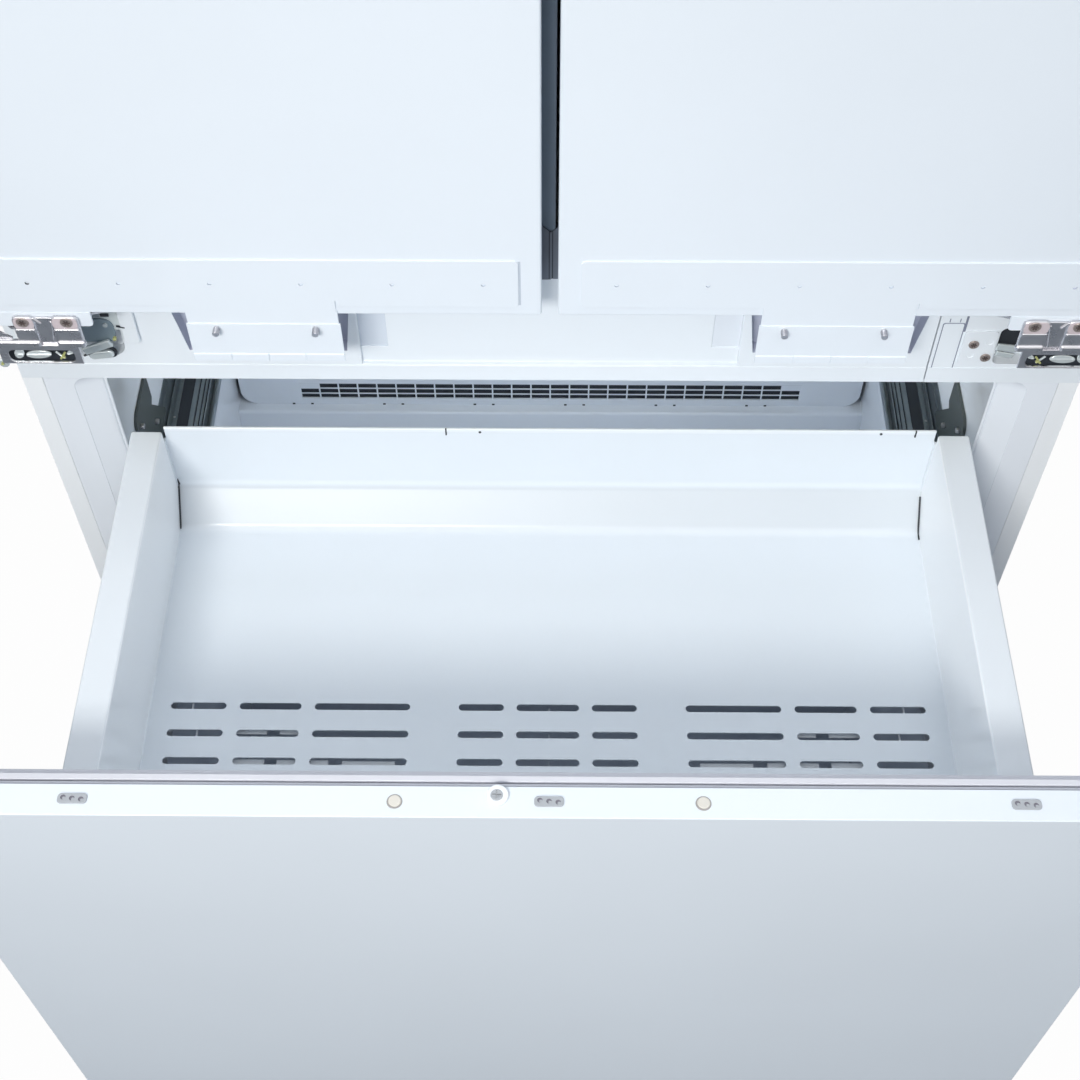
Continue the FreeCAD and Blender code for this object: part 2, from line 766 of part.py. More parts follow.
def outer_wrapper():
    """The steel casing: two sides and a roof, with narrow flanges folded in at the front."""
    shell = cut(
        box((-half_width, half_width), (0, back_plane), (skirt_clearance, cabinet_height)),
        [
            box(
                (-casing_inside, casing_inside),
                (-overrun, cabinet_depth),
                (skirt_clearance - overrun, cabinet_top_inside),
            )
        ],
    )
    inner_edge = half_width - return_flange
    flanges = [
        box((side * casing_inside, side * inner_edge), (0, casing_sheet), (base_height, cabinet_top_inside))
        for side in (-1, 1)
    ]
    flanges.append(
        box(
            (-inner_edge, inner_edge),
            (0, casing_sheet),
            (cabinet_height - return_flange, cabinet_top_inside),
        )
    )
    keep("outer_wrapper", fuse([shell] + flanges))


def back_panel():
    """The rear sheet, with rows of air slots into the machine space and a window for the inlet."""
    sheet_box = box((-half_width, half_width), (back_plane, cabinet_depth), (skirt_clearance, cabinet_height))
    tools = []
    depth = (back_plane - overrun, cabinet_depth + overrun)
    first = -(back_columns - 1) / 2 * back_slot_pitch
    for row in range(back_rows):
        low = back_slot_start + row * back_slot_rise
        for column in range(back_columns):
            middle = first + column * back_slot_pitch
            if middle.number < box_right.number:
                continue
            ends = (middle - back_slot_length / 2, middle + back_slot_length / 2)
            tools.append(box(ends, depth, (low, low + back_slot_height)))
    middle = (box_left + box_right) / 2
    tools.append(
        box(
            (middle - inlet_half_width - flange_gap, middle + inlet_half_width + flange_gap),
            depth,
            (inlet_height - inlet_half_height - flange_gap, inlet_height + inlet_half_height + flange_gap),
        )
    )
    keep("back_panel", cut(sheet_box, tools))


def cabinet_foam():
    """The insulation that fills the space between the casing and the two liners."""
    block = box((-casing_inside, casing_inside), (liner_wall, back_plane), (base_height, cabinet_top_inside))
    tools = [
        box(
            (-fridge_half_width - liner_wall, fridge_half_width + liner_wall),
            (0, fridge_depth + liner_wall),
            (fridge_floor - liner_wall, fridge_ceiling + liner_wall),
        ),
        box(
            (-freezer_half_width - liner_wall, freezer_half_width + liner_wall),
            (0, freezer_depth + liner_wall),
            (freezer_floor + hump_height - liner_wall, freezer_ceiling + liner_wall),
        ),
        box(
            (-freezer_half_width - liner_wall, freezer_half_width + liner_wall),
            (0, hump_front + liner_wall),
            (freezer_floor - liner_wall, freezer_ceiling),
        ),
        box(
            (-freezer_step_half_width - liner_wall, freezer_step_half_width + liner_wall),
            (0, freezer_step_depth + liner_wall),
            (freezer_floor - freezer_step_drop - liner_wall, rail_top),
        ),
        box((-half_width, half_width), (0, rail_depth), (opening_top, rail_top)),
        box((-half_width, half_width), (machine_front - casing_sheet, cabinet_depth), (0, machine_height)),
    ]
    keep("cabinet_foam", cut(block, tools))


def freezer_liner():
    """The lower liner: a box with a step round its mouth, a flange and a hump over the machine space."""
    flange_foot = freezer_floor - freezer_step_drop - return_flange + flange_gap
    walls = fuse(
        [
            box((-flange_edge, flange_edge), (0, liner_wall), (flange_foot, opening_top)),
            box(
                (-freezer_step_half_width - liner_wall, freezer_step_half_width + liner_wall),
                (0, freezer_step_depth + liner_wall),
                (freezer_floor - freezer_step_drop - liner_wall, opening_top),
            ),
            box(
                (-freezer_half_width - liner_wall, freezer_half_width + liner_wall),
                (0, hump_front + liner_wall),
                (freezer_floor - liner_wall, freezer_ceiling + liner_wall),
            ),
            box(
                (-freezer_half_width - liner_wall, freezer_half_width + liner_wall),
                (0, freezer_depth + liner_wall),
                (freezer_floor + hump_height - liner_wall, freezer_ceiling + liner_wall),
            ),
        ]
    )
    step = (-freezer_step_half_width, freezer_step_half_width)
    tools = [
        box(step, (-overrun, freezer_step_depth), (freezer_floor - freezer_step_drop, freezer_ceiling)),
        box(
            (-freezer_half_width, freezer_half_width),
            (-overrun, hump_front),
            (freezer_floor, freezer_ceiling),
        ),
        box(
            (-freezer_half_width, freezer_half_width),
            (-overrun, freezer_depth),
            (freezer_floor + hump_height, freezer_ceiling),
        ),
    ]
    keep("freezer_liner", cut(walls, tools))


def fridge_liner():
    """The upper liner, with a flange at its mouth and moulded ribs that carry the shelves."""
    flange_top = cabinet_height - return_flange - flange_gap
    walls = fuse(
        [
            box((-flange_edge, flange_edge), (0, liner_wall), (fridge_floor - liner_wall, flange_top)),
            box(
                (-fridge_half_width - liner_wall, fridge_half_width + liner_wall),
                (0, fridge_depth + liner_wall),
                (fridge_floor - liner_wall, fridge_ceiling + liner_wall),
            ),
        ]
    )
    cavity = box(
        (-fridge_half_width, fridge_half_width), (-overrun, fridge_depth), (fridge_floor, fridge_ceiling)
    )
    shell = cut(walls, [cavity])
    ribs = []
    for level in range(shelves):
        top = crisper_cover_height + level * shelf_pitch
        for side in (-1, 1):
            rib_end = fridge_half_width + liner_wall / 2
            across = (side * (fridge_half_width - shelf_rib_width), side * rib_end)
            ribs.append(box(across, (shelf_front, shelf_back), (top - shelf_rib_height, top)))
    keep("fridge_liner", fuse([shell] + ribs))


def rail_blank(x):
    """The rail's full section over a range of X: a face sheet with its body behind."""
    low_x, high_x = ordered(*x)
    edge = flange_edge - rail_side_gap
    body_low = low_x if low_x.number > -edge.number else -edge
    body_high = high_x if high_x.number < edge.number else edge
    return fuse(
        [
            box((low_x, high_x), (rail_face, 0), (opening_top, rail_top)),
            box((body_low, body_high), (0, rail_depth), (opening_top, rail_top)),
        ]
    )


def cross_rail():
    """The rail between the openings, with a tapered pocket behind each door's tongue."""
    face_depth = (rail_face - overrun, pocket_depth)
    blank = rail_blank((-(half_width - rail_side_gap), end_cover_start - end_cover_gap))
    tools = []
    for side in (-1, 1):
        tools.append(
            tapered(
                (side * (tongue_middle - pocket_foot_inner), side * (tongue_middle + pocket_foot_outer)),
                (side * (tongue_middle - pocket_top_inner), side * (tongue_middle + pocket_top_outer)),
                face_depth,
                (pocket_foot, pocket_top),
            )
        )
    tools.append(
        box(
            (-recess_half_width, recess_half_width),
            (rail_face - overrun, recess_depth),
            (recess_foot, pocket_top),
        )
    )
    keep("cross_rail", cut(blank, tools))


def rail_end_cover():
    """The rail's right end, with a screwed plate beside the hinge."""
    blank = rail_blank((end_cover_start, half_width - rail_side_gap))
    plate = plate_with_round_corners(
        (screw_plate_left, screw_plate_right),
        (rail_face - screw_plate_sheet, rail_face),
        (screw_plate_foot, screw_plate_top),
        strip_corner,
    )
    holes = [
        rod("Y", x, rail_face - screw_plate_sheet - overrun, z, cover_screw_shank + pin_fit,
            overrun + screw_plate_sheet + cover_screw_length)
        for x, z in ((cover_screw_one_x, cover_screw_one_z), (cover_screw_two_x, cover_screw_two_z))
    ]
    keep("rail_end_cover", cut(fuse([blank, plate]), holes))


def cabinet_screws():
    """The two screws of the end cover."""
    face = rail_face - screw_plate_sheet
    screws = []
    for x, z in ((cover_screw_one_x, cover_screw_one_z), (cover_screw_two_x, cover_screw_two_z)):
        head = rod("Y", x, face - cover_screw_head_height, z, cover_screw_head, cover_screw_head_height)
        shank = rod("Y", x, face - cover_screw_head_height, z, cover_screw_shank,
                    cover_screw_head_height + cover_screw_length - overrun)
        screws.append(fuse([head, shank]))
    keep("cabinet_screws", group(screws))


def lower_hinge_levels():
    """The two levels of the lower link plates, and where the cup starts and ends."""
    first = link_foot
    second = link_foot + link_spacing
    return first, second, first - cup_clearance - cup_wall, second + link_sheet + cup_clearance + cup_wall


def upper_hinge_levels():
    first = door_top + top_link_rise
    second = first + top_link_spacing
    return first, second, first - cup_clearance - cup_wall, second + link_sheet + cup_clearance + cup_wall


def hinge_cups():
    """The four fixed halves of the door hinges, each a clevis with its pin."""
    cups = []
    for levels, back in ((lower_hinge_levels(), rail_face), (upper_hinge_levels(), as_size(0))):
        foot, top = levels[2], levels[3]
        for side in (-1, 1):
            x = side * hinge_root_x
            across = (x - cup_half_width, x + cup_half_width)
            cups.append(
                fuse(
                    [
                        box(across, (back - cup_wall, back), (foot, top)),
                        box(across, (-cup_front, back), (foot, foot + cup_wall)),
                        box(across, (-cup_front, back), (top - cup_wall, top)),
                        rod("Z", x, hinge_root_y, foot, hinge_pin, top - foot),
                    ]
                )
            )
    keep("hinge_cups", group(cups))


def link_plate(side, foot):
    """One link plate: a bar with an eye at each pin."""
    root_x = side * hinge_root_x
    far_x = side * hinge_far_x
    length = doc.addObject("Part::Box", "link_bar")
    reach = "sqrt(%s ^ 2 + %s ^ 2)" % (link_reach_x.text, link_reach_y.text)
    angle = "atan(%s / %s)" % (link_reach_y.text, link_reach_x.text)
    length.setExpression("Length", reach)
    bind(length, "Width", link_width)
    bind(length, "Height", link_sheet)
    # The bar starts at one pin and leans forward to the other, so its corner is half a width aside.
    if side < 0:
        start_x, start_y, turn = far_x, hinge_far_y, angle
    else:
        start_x, start_y, turn = root_x, hinge_root_y, "-" + angle
    length.setExpression(".Placement.Rotation.Angle", turn)
    half = (link_width / 2).text
    length.setExpression(".Placement.Base.x", "%s + %s * sin(%s)" % (start_x.text, half, turn))
    length.setExpression(".Placement.Base.y", "%s - %s * cos(%s)" % (start_y.text, half, turn))
    bind(length, ".Placement.Base.z", foot)
    eyes = [
        rod("Z", root_x, hinge_root_y, foot, link_eye, link_sheet),
        rod("Z", far_x, hinge_far_y, foot, link_eye, link_sheet),
    ]
    bores = [
        rod("Z", x, y, foot - overrun, hinge_pin + pin_fit, link_sheet + 2 * overrun)
        for x, y in ((root_x, hinge_root_y), (far_x, hinge_far_y))
    ]
    return cut(fuse([length] + eyes), bores)


def hinge_links(name, side):
    """The four link plates of one door: two below the door and two above it."""
    plates = []
    for levels in (lower_hinge_levels(), upper_hinge_levels()):
        plates.append(link_plate(side, levels[0]))
        plates.append(link_plate(side, levels[1]))
    keep(name + "_hinge_links", group(plates))


def hinge_brackets(name, side):
    """The moving halves of the hinges: plates on the door's foot and top, each with its pin."""
    across = (side * bracket_inner_edge, side * bracket_outer_edge)
    face = -(front_plane + bracket_proud)
    depth = (face, -bracket_plate_back)
    sheet_depth = (face, face + bracket_sheet)
    lower_plate = box(across, depth, (door_foot - bracket_plate, door_foot))
    web = box(across, sheet_depth, (bracket_foot, door_foot))
    margin = bracket_window_margin
    window = box(
        (side * (bracket_inner_edge + margin), side * (bracket_outer_edge - margin)),
        (face - overrun, face + bracket_sheet + overrun),
        (bracket_window_foot, bracket_window_top),
    )
    lower = lower_hinge_levels()
    pin_foot = lower[0] - cup_wall
    lower_pin = rod("Z", side * hinge_far_x, hinge_far_y, pin_foot, hinge_pin, door_foot - pin_foot)
    screw_holes = [
        rod("Y", side * (hinge_screw_inner + index * hinge_screw_spacing), face - overrun, hinge_screw_height,
            hinge_screw_shank + pin_fit, bracket_sheet + 2 * overrun)
        for index in range(2)
    ]
    lower_bracket = cut(fuse([lower_plate, web, lower_pin]), [window] + screw_holes)
    upper = upper_hinge_levels()
    upper_plate = box(across, depth, (door_top, door_top + bracket_plate))
    pin_top = upper[1] + link_sheet + cup_wall
    upper_pin = rod("Z", side * hinge_far_x, hinge_far_y, door_top, hinge_pin, pin_top - door_top)
    keep(name + "_hinge_brackets", group([lower_bracket, fuse([upper_plate, upper_pin])]))


def door_screws(name, side):
    """The two panel studs and the two hinge screws of one door."""
    pieces = []
    face = -(front_plane + tongue_sheet)
    for index in range(2):
        x = side * (stud_inner + index * stud_spacing)
        pieces.append(rod("Y", x, face - stud_reach, stud_height, stud_radius, stud_reach))
    face = -(front_plane + bracket_proud)
    for index in range(2):
        x = side * (hinge_screw_inner + index * hinge_screw_spacing)
        start = face - hinge_screw_head_height
        head = rod("Y", x, start, hinge_screw_height, hinge_screw_head, hinge_screw_head_height)
        reach = hinge_screw_head_height + bracket_sheet
        shank = rod("Y", x, start, hinge_screw_height, hinge_screw_shank, reach)
        pieces.append(fuse([head, shank]))
    keep(name + "_door_screws", group(pieces))


def door(name, side):
    """One door: a steel pan, its insulation, the inner panel, the seal and the bins."""
    inner_edge = door_gap / 2
    across = (side * inner_edge, side * door_edge)
    upright = (door_foot, door_top)
    pan_inside = (side * (inner_edge + front_sheet), side * (door_edge - front_sheet))
    upright_inside = (door_foot + front_sheet, door_top - front_sheet)
    panel_face = door_back - inner_panel_sheet
    skin = cut(
        box(across, (-front_plane, door_back), upright),
        [box(pan_inside, (-(front_plane - front_sheet), door_back + overrun), upright_inside)],
    )
    keep(name + "_door_skin", skin)
    keep(name + "_door_foam", box(pan_inside, (-(front_plane - front_sheet), panel_face), upright_inside))

    bulge = (side * bulge_inner_edge, side * bulge_outer_edge)
    bulge_rise = (bulge_foot, bulge_top)
    wall = inner_panel_sheet
    hollow = box(
        (side * (bulge_inner_edge + wall), side * (bulge_outer_edge - wall)),
        (panel_face - overrun, bulge_depth - wall),
        (bulge_foot + wall, bulge_top - wall),
    )
    flat = box(pan_inside, (panel_face, door_back), upright_inside)
    panel = cut(fuse([flat, box(bulge, (door_back, bulge_depth), bulge_rise)]), [hollow])
    if side < 0:
        panel = fuse([panel] + flap_tabs())
    keep(name + "_door_liner", panel)

    low = inner_edge + gasket_margin
    high = door_edge - gasket_margin
    seal = ring(
        (side * low, side * high),
        (door_foot + gasket_margin, door_top - gasket_margin),
        gasket_width,
        (door_back, gasket_back),
    )
    keep(name + "_door_gasket", seal)

    bins = []
    for index in range(bins_per_door):
        foot = lowest_bin_height + index * bin_pitch
        bins.append(
            open_top_bin(
                (side * bin_inner_edge, side * bin_outer_edge),
                (bulge_depth, bulge_depth + bin_reach),
                (foot, foot + bin_height),
                bin_wall,
            )
        )
    keep(name + "_door_bins", group(bins))


def panel_bracket(name, side):
    """The strip that a furniture panel is screwed to, with its tongue hanging below the door."""
    strip = plate_with_round_corners(
        (side * strip_inner_edge, side * strip_outer_edge),
        (-(front_plane + strip_sheet), -front_plane),
        (strip_foot, strip_top),
        strip_corner,
    )
    tongue = box(
        (side * tongue_inner_edge, side * tongue_outer_edge),
        (-(front_plane + tongue_sheet), -front_plane),
        (tongue_foot, strip_foot + strip_corner),
    )
    holes = []
    for index in range(strip_holes):
        x = side * (strip_first_hole + index * strip_hole_pitch)
        holes.append(
            rod("Y", x, -(front_plane + strip_sheet + overrun), strip_hole_height, strip_hole_radius,
                strip_sheet + overrun)
        )
    keep(name + "_panel_bracket", cut(fuse([strip, tongue]), holes))


def flap_tabs():
    """The tabs on the left door's inner panel that carry the mullion flap's pins."""
    tabs = []
    for foot, top, pin_foot, pin_top in (
        (
            flap_foot - flap_tab_gap - flap_tab_height,
            flap_foot - flap_tab_gap,
            flap_foot - flap_tab_gap - flap_tab_height,
            flap_foot + flap_tab_height,
        ),
        (
            flap_top + flap_tab_gap,
            flap_top + flap_tab_gap + flap_tab_height,
            flap_top - flap_tab_height,
            flap_top + flap_tab_gap + flap_tab_height,
        ),
    ):
        depth = (flap_axis_y - flap_knuckle, flap_axis_y + flap_knuckle)
        tabs.append(box((-bulge_inner_edge, flap_axis_x + flap_knuckle), depth, (foot, top)))
        # A foot that runs from the tab back to the flat of the panel.
        tabs.append(
            box((-bulge_inner_edge, -bulge_inner_edge + flap_knuckle), (door_back, depth[1]), (foot, top))
        )
        tabs.append(rod("Z", flap_axis_x, flap_axis_y, pin_foot, flap_pin, pin_top - pin_foot))
    return tabs


def mullion_flap():
    """The dark post between the doors, which folds inward as the left door opens."""
    body = box((flap_start - flap_knuckle, flap_end), (0, flap_depth), (flap_foot, flap_top))
    knuckle = rod("Z", flap_axis_x, flap_axis_y, flap_foot, flap_knuckle, flap_top - flap_foot)
    bore_length = flap_tab_height + flap_tab_gap + overrun
    bores = [
        rod("Z", flap_axis_x, flap_axis_y, flap_foot - overrun, flap_pin + pin_fit, bore_length + overrun),
        rod("Z", flap_axis_x, flap_axis_y, flap_top - bore_length, flap_pin + pin_fit, bore_length + overrun),
    ]
    keep("mullion_flap", cut(fuse([body, knuckle]), bores))


def mullion_guide():
    """The dark guide on the rail below the flap."""
    across = (-guide_half_width, guide_half_width)
    face = box(across, (rail_face - guide_face, rail_face), (guide_foot, guide_top))
    block = box(across, (rail_face, guide_depth), (fridge_floor + flange_gap, guide_top))
    keep("mullion_guide", fuse([face, block]))


def drawer_front():
    """The drawer's front: steel pan, insulation, inner plug and seal."""
    across = (-drawer_half_width, drawer_half_width)
    upright = (drawer_foot, drawer_top)
    inside = (-(drawer_half_width - front_sheet), drawer_half_width - front_sheet)
    upright_inside = (drawer_foot + front_sheet, drawer_top - front_sheet)
    panel_face = drawer_pan_back - inner_panel_sheet
    skin = cut(
        box(across, (drawer_face, drawer_pan_back), upright),
        [box(inside, (drawer_face + front_sheet, drawer_pan_back + overrun), upright_inside)],
    )
    keep("drawer_skin", skin)
    keep("drawer_foam", box(inside, (drawer_face + front_sheet, panel_face), upright_inside))
    wall = inner_panel_sheet
    plug = fuse(
        [
            box(inside, (panel_face, drawer_pan_back), upright_inside),
            box(
                (-plug_half_width, plug_half_width),
                (drawer_pan_back, drawer_plug_back),
                (plug_foot, plug_top),
            ),
        ]
    )
    hollow = box(
        (-(plug_half_width - wall), plug_half_width - wall),
        (panel_face - overrun, drawer_plug_back - wall),
        (plug_foot + wall, plug_top - wall),
    )
    keep("drawer_liner", cut(plug, [hollow]))
    edge = drawer_half_width - drawer_gasket_margin
    seal = ring(
        (-edge, edge),
        (drawer_foot + drawer_gasket_margin, drawer_top - drawer_gasket_margin),
        drawer_gasket_width,
        (drawer_pan_back, drawer_gasket_back),
    )
    keep("drawer_gasket", seal)


def tray():
    """The upper tray: folded sheet with hollow side walls, a sloped back and rows of floor slots."""
    wall_inside = tray_half_width - tray_wall
    back_inside = tray_back - tray_sheet
    front_inside = drawer_plug_back + tray_sheet
    outer = box(
        (-tray_half_width, tray_half_width), (drawer_plug_back, tray_back), (tray_underside, tray_rim)
    )
    tools = [box((-wall_inside, wall_inside), (front_inside, back_inside), (tray_floor, tray_rim + overrun))]
    for side in (-1, 1):
        tools.append(
            box(
                (side * (wall_inside + tray_sheet), side * (tray_half_width - tray_sheet)),
                (front_inside, back_inside),
                (tray_underside - overrun, tray_rim - tray_sheet),
            )
        )
    shell = cut(outer, tools)
    slope = doc.addObject("PartDesign::Body", "tray_slope")
    sketch = sketch_on(slope, "YZ_Plane", "slope_outline")
    outline(
        sketch,
        [
            (back_inside - tray_slope_run, tray_floor),
            (back_inside, tray_floor + tray_slope_run),
            (back_inside, tray_floor + tray_slope_run - 2 * tray_sheet),
            (back_inside - tray_slope_run + 2 * tray_sheet, tray_floor),
        ],
    )
    pad = slope.newObject("PartDesign::Pad", "slope_pad")
    pad.Profile = sketch
    pad.setExpression("Length", (2 * wall_inside).text)
    pad.Midplane = True
    holes = []
    ranges = [(-wall_inside * centre_slot_share, wall_inside * centre_slot_share)]
    for side in (-1, 1):
        for start, end in slot_shares:
            ranges.append((side * start * wall_inside, side * end * wall_inside))
    for row in (-1, 0, 1):
        y = slot_middle_row + row * slot_row_pitch
        for across in ranges:
            holes += slot_tool(across, y, (tray_underside - overrun, tray_floor + overrun), slot_width)
    for side in (-1, 1):
        holes.append(
            box(
                (side * (wall_inside - tray_sheet), side * (wall_inside + tray_sheet + tray_sheet)),
                (back_inside - tray_slope_run - slit_width, back_inside - tray_slope_run),
                (slit_foot, slit_top),
            )
        )
    keep("tray", cut(fuse([shell, slope]), holes))


def basket():
    """The deep lower basket, hung by its rim on the slides."""
    rim_foot = slide_foot + slide_ledge_rise + slide_sheet
    body = open_top_bin(
        (-basket_half_width, basket_half_width),
        (drawer_plug_back + basket_end_gap, tray_back - basket_back_gap),
        (basket_floor, rim_foot + basket_wall),
        basket_wall,
    )
    rims = [
        box(
            (side * (basket_half_width - basket_wall), side * (basket_half_width + basket_rim_reach)),
            (drawer_plug_back + basket_end_gap, tray_back - basket_back_gap),
            (rim_foot, rim_foot + basket_wall),
        )
        for side in (-1, 1)
    ]
    keep("basket", fuse([body] + rims))


def slides():
    """Both telescopic slides: cabinet rails, middle rails and drawer rails, each a pair."""
    outer_y = (slide_front, slide_front + slide_length)
    middle_y = (slide_front - drawer_travel / 2, slide_front + slide_length - drawer_travel / 2)
    inner_y = (drawer_plug_back, tray_back)
    inset = slide_sheet + slide_gap
    floor_one = slide_foot
    floor_two = slide_foot + inset
    floor_three = slide_foot + 2 * inset
    outer = []
    middle = []
    inner = []
    for side in (-1, 1):
        wall_side = side * slide_outer_face
        tray_side = side * slide_inner_face
        into = -side * slide_sheet
        outer.append(
            fuse(
                [
                    box((wall_side, tray_side), outer_y, (floor_one, floor_one + slide_sheet)),
                    box((wall_side, wall_side + into), outer_y, (floor_one, floor_one + slide_outer_leg)),
                    box((tray_side, tray_side - into), outer_y, (floor_one, floor_one + slide_inner_lip)),
                    box(
                        (wall_side, wall_side - side * wall_bracket_sheet),
                        (wall_bracket_start, wall_bracket_end),
                        (floor_one + slide_outer_leg, floor_one + slide_outer_leg + wall_bracket_rise),
                    ),
                ]
            )
        )
        wall_side = side * (slide_outer_face - inset)
        tray_side = side * (slide_inner_face + inset)
        middle.append(
            fuse(
                [
                    box((wall_side, tray_side), middle_y, (floor_two, floor_two + slide_sheet)),
                    box((wall_side, wall_side + into), middle_y, (floor_two, floor_two + slide_middle_leg)),
                    box((tray_side, tray_side - into), middle_y, (floor_two, floor_two + slide_middle_leg)),
                ]
            )
        )
        wall_side = side * (slide_outer_face - 2 * inset)
        tray_side = side * (slide_inner_face + 2 * inset)
        ledge = slide_foot + slide_ledge_rise
        inner.append(
            fuse(
                [
                    box((wall_side, tray_side), inner_y, (tray_underside - slide_sheet, tray_underside)),
                    box((wall_side, wall_side + into), inner_y, (floor_three, tray_underside)),
                    box((tray_side, tray_side - into), inner_y, (floor_three, tray_underside)),
                    box(
                        (tray_side, tray_side - side * slide_ledge_width),
                        inner_y,
                        (ledge, ledge + slide_sheet),
                    ),
                ]
            )
        )
    keep("slide_outer_rails", group(outer))
    keep("slide_middle_rails", group(middle))
    keep("slide_inner_rails", group(inner))


def drawer_top_pieces():
    """The oval adapters, the round plugs and the bumper on the drawer's top edge."""
    y = drawer_face + top_line
    adapters = []
    radius = adapter_width / 2
    for index in (-1, 0, 1):
        x = index * adapter_spacing
        half = adapter_length / 2 - radius
        body = fuse(
            [
                box((x - half, x + half), (y - radius, y + radius), (drawer_top, drawer_top + adapter_sheet)),
                rod("Z", x - half, y, drawer_top, radius, adapter_sheet),
                rod("Z", x + half, y, drawer_top, radius, adapter_sheet),
            ]
        )
        first = x - (adapter_holes - 1) / 2 * adapter_hole_pitch
        holes = [
            rod("Z", first + hole * adapter_hole_pitch, y, drawer_top - overrun, adapter_hole,
                adapter_sheet + 2 * overrun)
            for hole in range(adapter_holes)
        ]
        adapters.append(cut(body, holes))
    keep("panel_adapters", group(adapters))
    plugs = [rod("Z", side * plug_offset, y, drawer_top, plug_radius, plug_cap) for side in (-1, 1)]
    y = drawer_face + bumper_line
    plugs.append(rod("Z", -bumper_offset, y, drawer_top, bumper_radius, bumper_height))
    keep("top_plugs", group(plugs))


def crisper(name, side):
    """One clear crisper drawer with a lip to pull it by."""
    foot = fridge_floor + crisper_floor_gap
    across = (side * crisper_inner_edge, side * crisper_outer_edge)
    body = open_top_bin(across, (crisper_front, crisper_back), (foot, foot + crisper_height), crisper_wall)
    top = foot + crisper_height
    grip = box(across, (crisper_front - crisper_grip_reach, crisper_front), (top - crisper_grip_height, top))
    keep(name + "_crisper", fuse([body, grip]))


def glass_shelves():
    """The crisper cover and three shelves, all glass."""
    edge = fridge_half_width - shelf_side_gap
    plates = []
    for level in range(shelves):
        foot = crisper_cover_height + level * shelf_pitch
        plates.append(box((-edge, edge), (shelf_front, shelf_back), (foot, foot + shelf_glass)))
    keep("glass_shelves", group(plates))


def fridge_fittings():
    """The touch panel under the ceiling and the two light strips on the walls."""
    keep(
        "control_panel",
        box(
            (-panel_half_width, panel_half_width),
            (panel_front, panel_front + panel_depth),
            (fridge_ceiling - panel_drop, fridge_ceiling),
        ),
    )
    strips = [
        box(
            (side * (fridge_half_width - light_sheet), side * fridge_half_width),
            (light_front, light_front + light_width),
            (light_foot, light_top),
        )
        for side in (-1, 1)
    ]
    keep("light_strips", group(strips))


def roof_brackets():
    """Two angle brackets on the roof, which fix the cabinet to the housing."""
    brackets = []
    for side in (-1, 1):
        middle = side * roof_bracket_x
        across = (middle - roof_bracket_half, middle + roof_bracket_half)
        front = roof_bracket_front
        foot = cabinet_height
        base = box(across, (front, front + roof_bracket_depth), (foot, foot + roof_bracket_sheet))
        wall = box(across, (front, front + roof_bracket_sheet), (foot, foot + roof_bracket_height))
        holes = [
            rod("Y", middle + end * roof_hole_spacing / 2, front - overrun,
                cabinet_height + (roof_bracket_sheet + roof_bracket_height) / 2, roof_hole_radius,
                roof_bracket_sheet + 2 * overrun)
            for end in (-1, 1)
        ]
        brackets.append(cut(fuse([base, wall]), holes))
    keep("roof_brackets", group(brackets))


def base_frame():
    """The welded base: side rails on the feet, the bottom plate, and the machine tray."""
    outer_edge = casing_inside
    inner_edge = casing_inside - frame_rail_width
    pieces = [
        box(
            (-outer_edge, outer_edge),
            (liner_wall, machine_front),
            (base_height - casing_sheet, base_height),
        ),
        box(
            (-outer_edge, outer_edge),
            (machine_front - casing_sheet, machine_front),
            (base_height - casing_sheet, machine_height),
        ),
        box(
            (-outer_edge, outer_edge),
            (machine_front - casing_sheet, back_plane),
            (machine_roof, machine_height),
        ),
        box((-inner_edge, inner_edge), (machine_front, frame_back), (frame_foot, frame_foot + frame_sheet)),
        box(
            (-inner_edge, inner_edge),
            (frame_plate_front, frame_plate_back),
            (frame_plate_height, frame_plate_height + frame_sheet),
        ),
    ]
    holes = []
    for side in (-1, 1):
        pieces.append(
            box(
                (side * inner_edge, side * outer_edge),
                (frame_front, frame_back),
                (frame_foot, frame_top - casing_sheet),
            )
        )
        inside = (side * (inner_edge + frame_sheet), side * (outer_edge - frame_sheet))
        holes.append(
            box(
                inside,
                (frame_front - overrun, frame_back + overrun),
                (frame_foot + frame_sheet, frame_top - casing_sheet - frame_sheet),
            )
        )
        # The roller's window reaches through the rail's foot.
        holes.append(
            box(
                inside,
                (roller_line - roller_window / 2, roller_line + roller_window / 2),
                (frame_foot - overrun, frame_foot + frame_sheet + overrun),
            )
        )
    shell = cut(fuse(pieces), holes)
    extras = []
    bores = []
    for side in (-1, 1):
        middle = side * (inner_edge + outer_edge) / 2
        for y in (foot_front, foot_back):
            extras.append(rod("Z", middle, y, frame_foot + frame_sheet, nut_radius, nut_height))
            length = nut_height + 3 * overrun
            bores.append(rod("Z", middle, y, frame_foot - overrun, foot_stud + foot_fit, length))
        axle_height = roller_radius + roller_lift
        start = middle - frame_rail_width / 2
        extras.append(rod("X", start, roller_line, axle_height, roller_axle, frame_rail_width))
        # The ears that hold the axle hang from the rail's two walls.
        for wall in (inner_edge, outer_edge - frame_sheet):
            extras.append(
                box(
                    (side * wall, side * (wall + frame_sheet)),
                    (roller_line - roller_ear, roller_line + roller_ear),
                    (axle_height - roller_ear, axle_height + roller_ear),
                )
            )
    keep("base_frame", cut(fuse([shell] + extras), bores))


def levelling_feet():
    """Four screw feet under the side rails."""
    middle = casing_inside - frame_rail_width / 2
    feet = []
    for side in (-1, 1):
        for y in (foot_front, foot_back):
            feet.append(
                fuse(
                    [
                        rod("Z", side * middle, y, 0, foot_radius, foot_pad),
                        rod("Z", side * middle, y, 0, foot_stud, foot_stud_top),
                    ]
                )
            )
    keep("levelling_feet", group(feet))


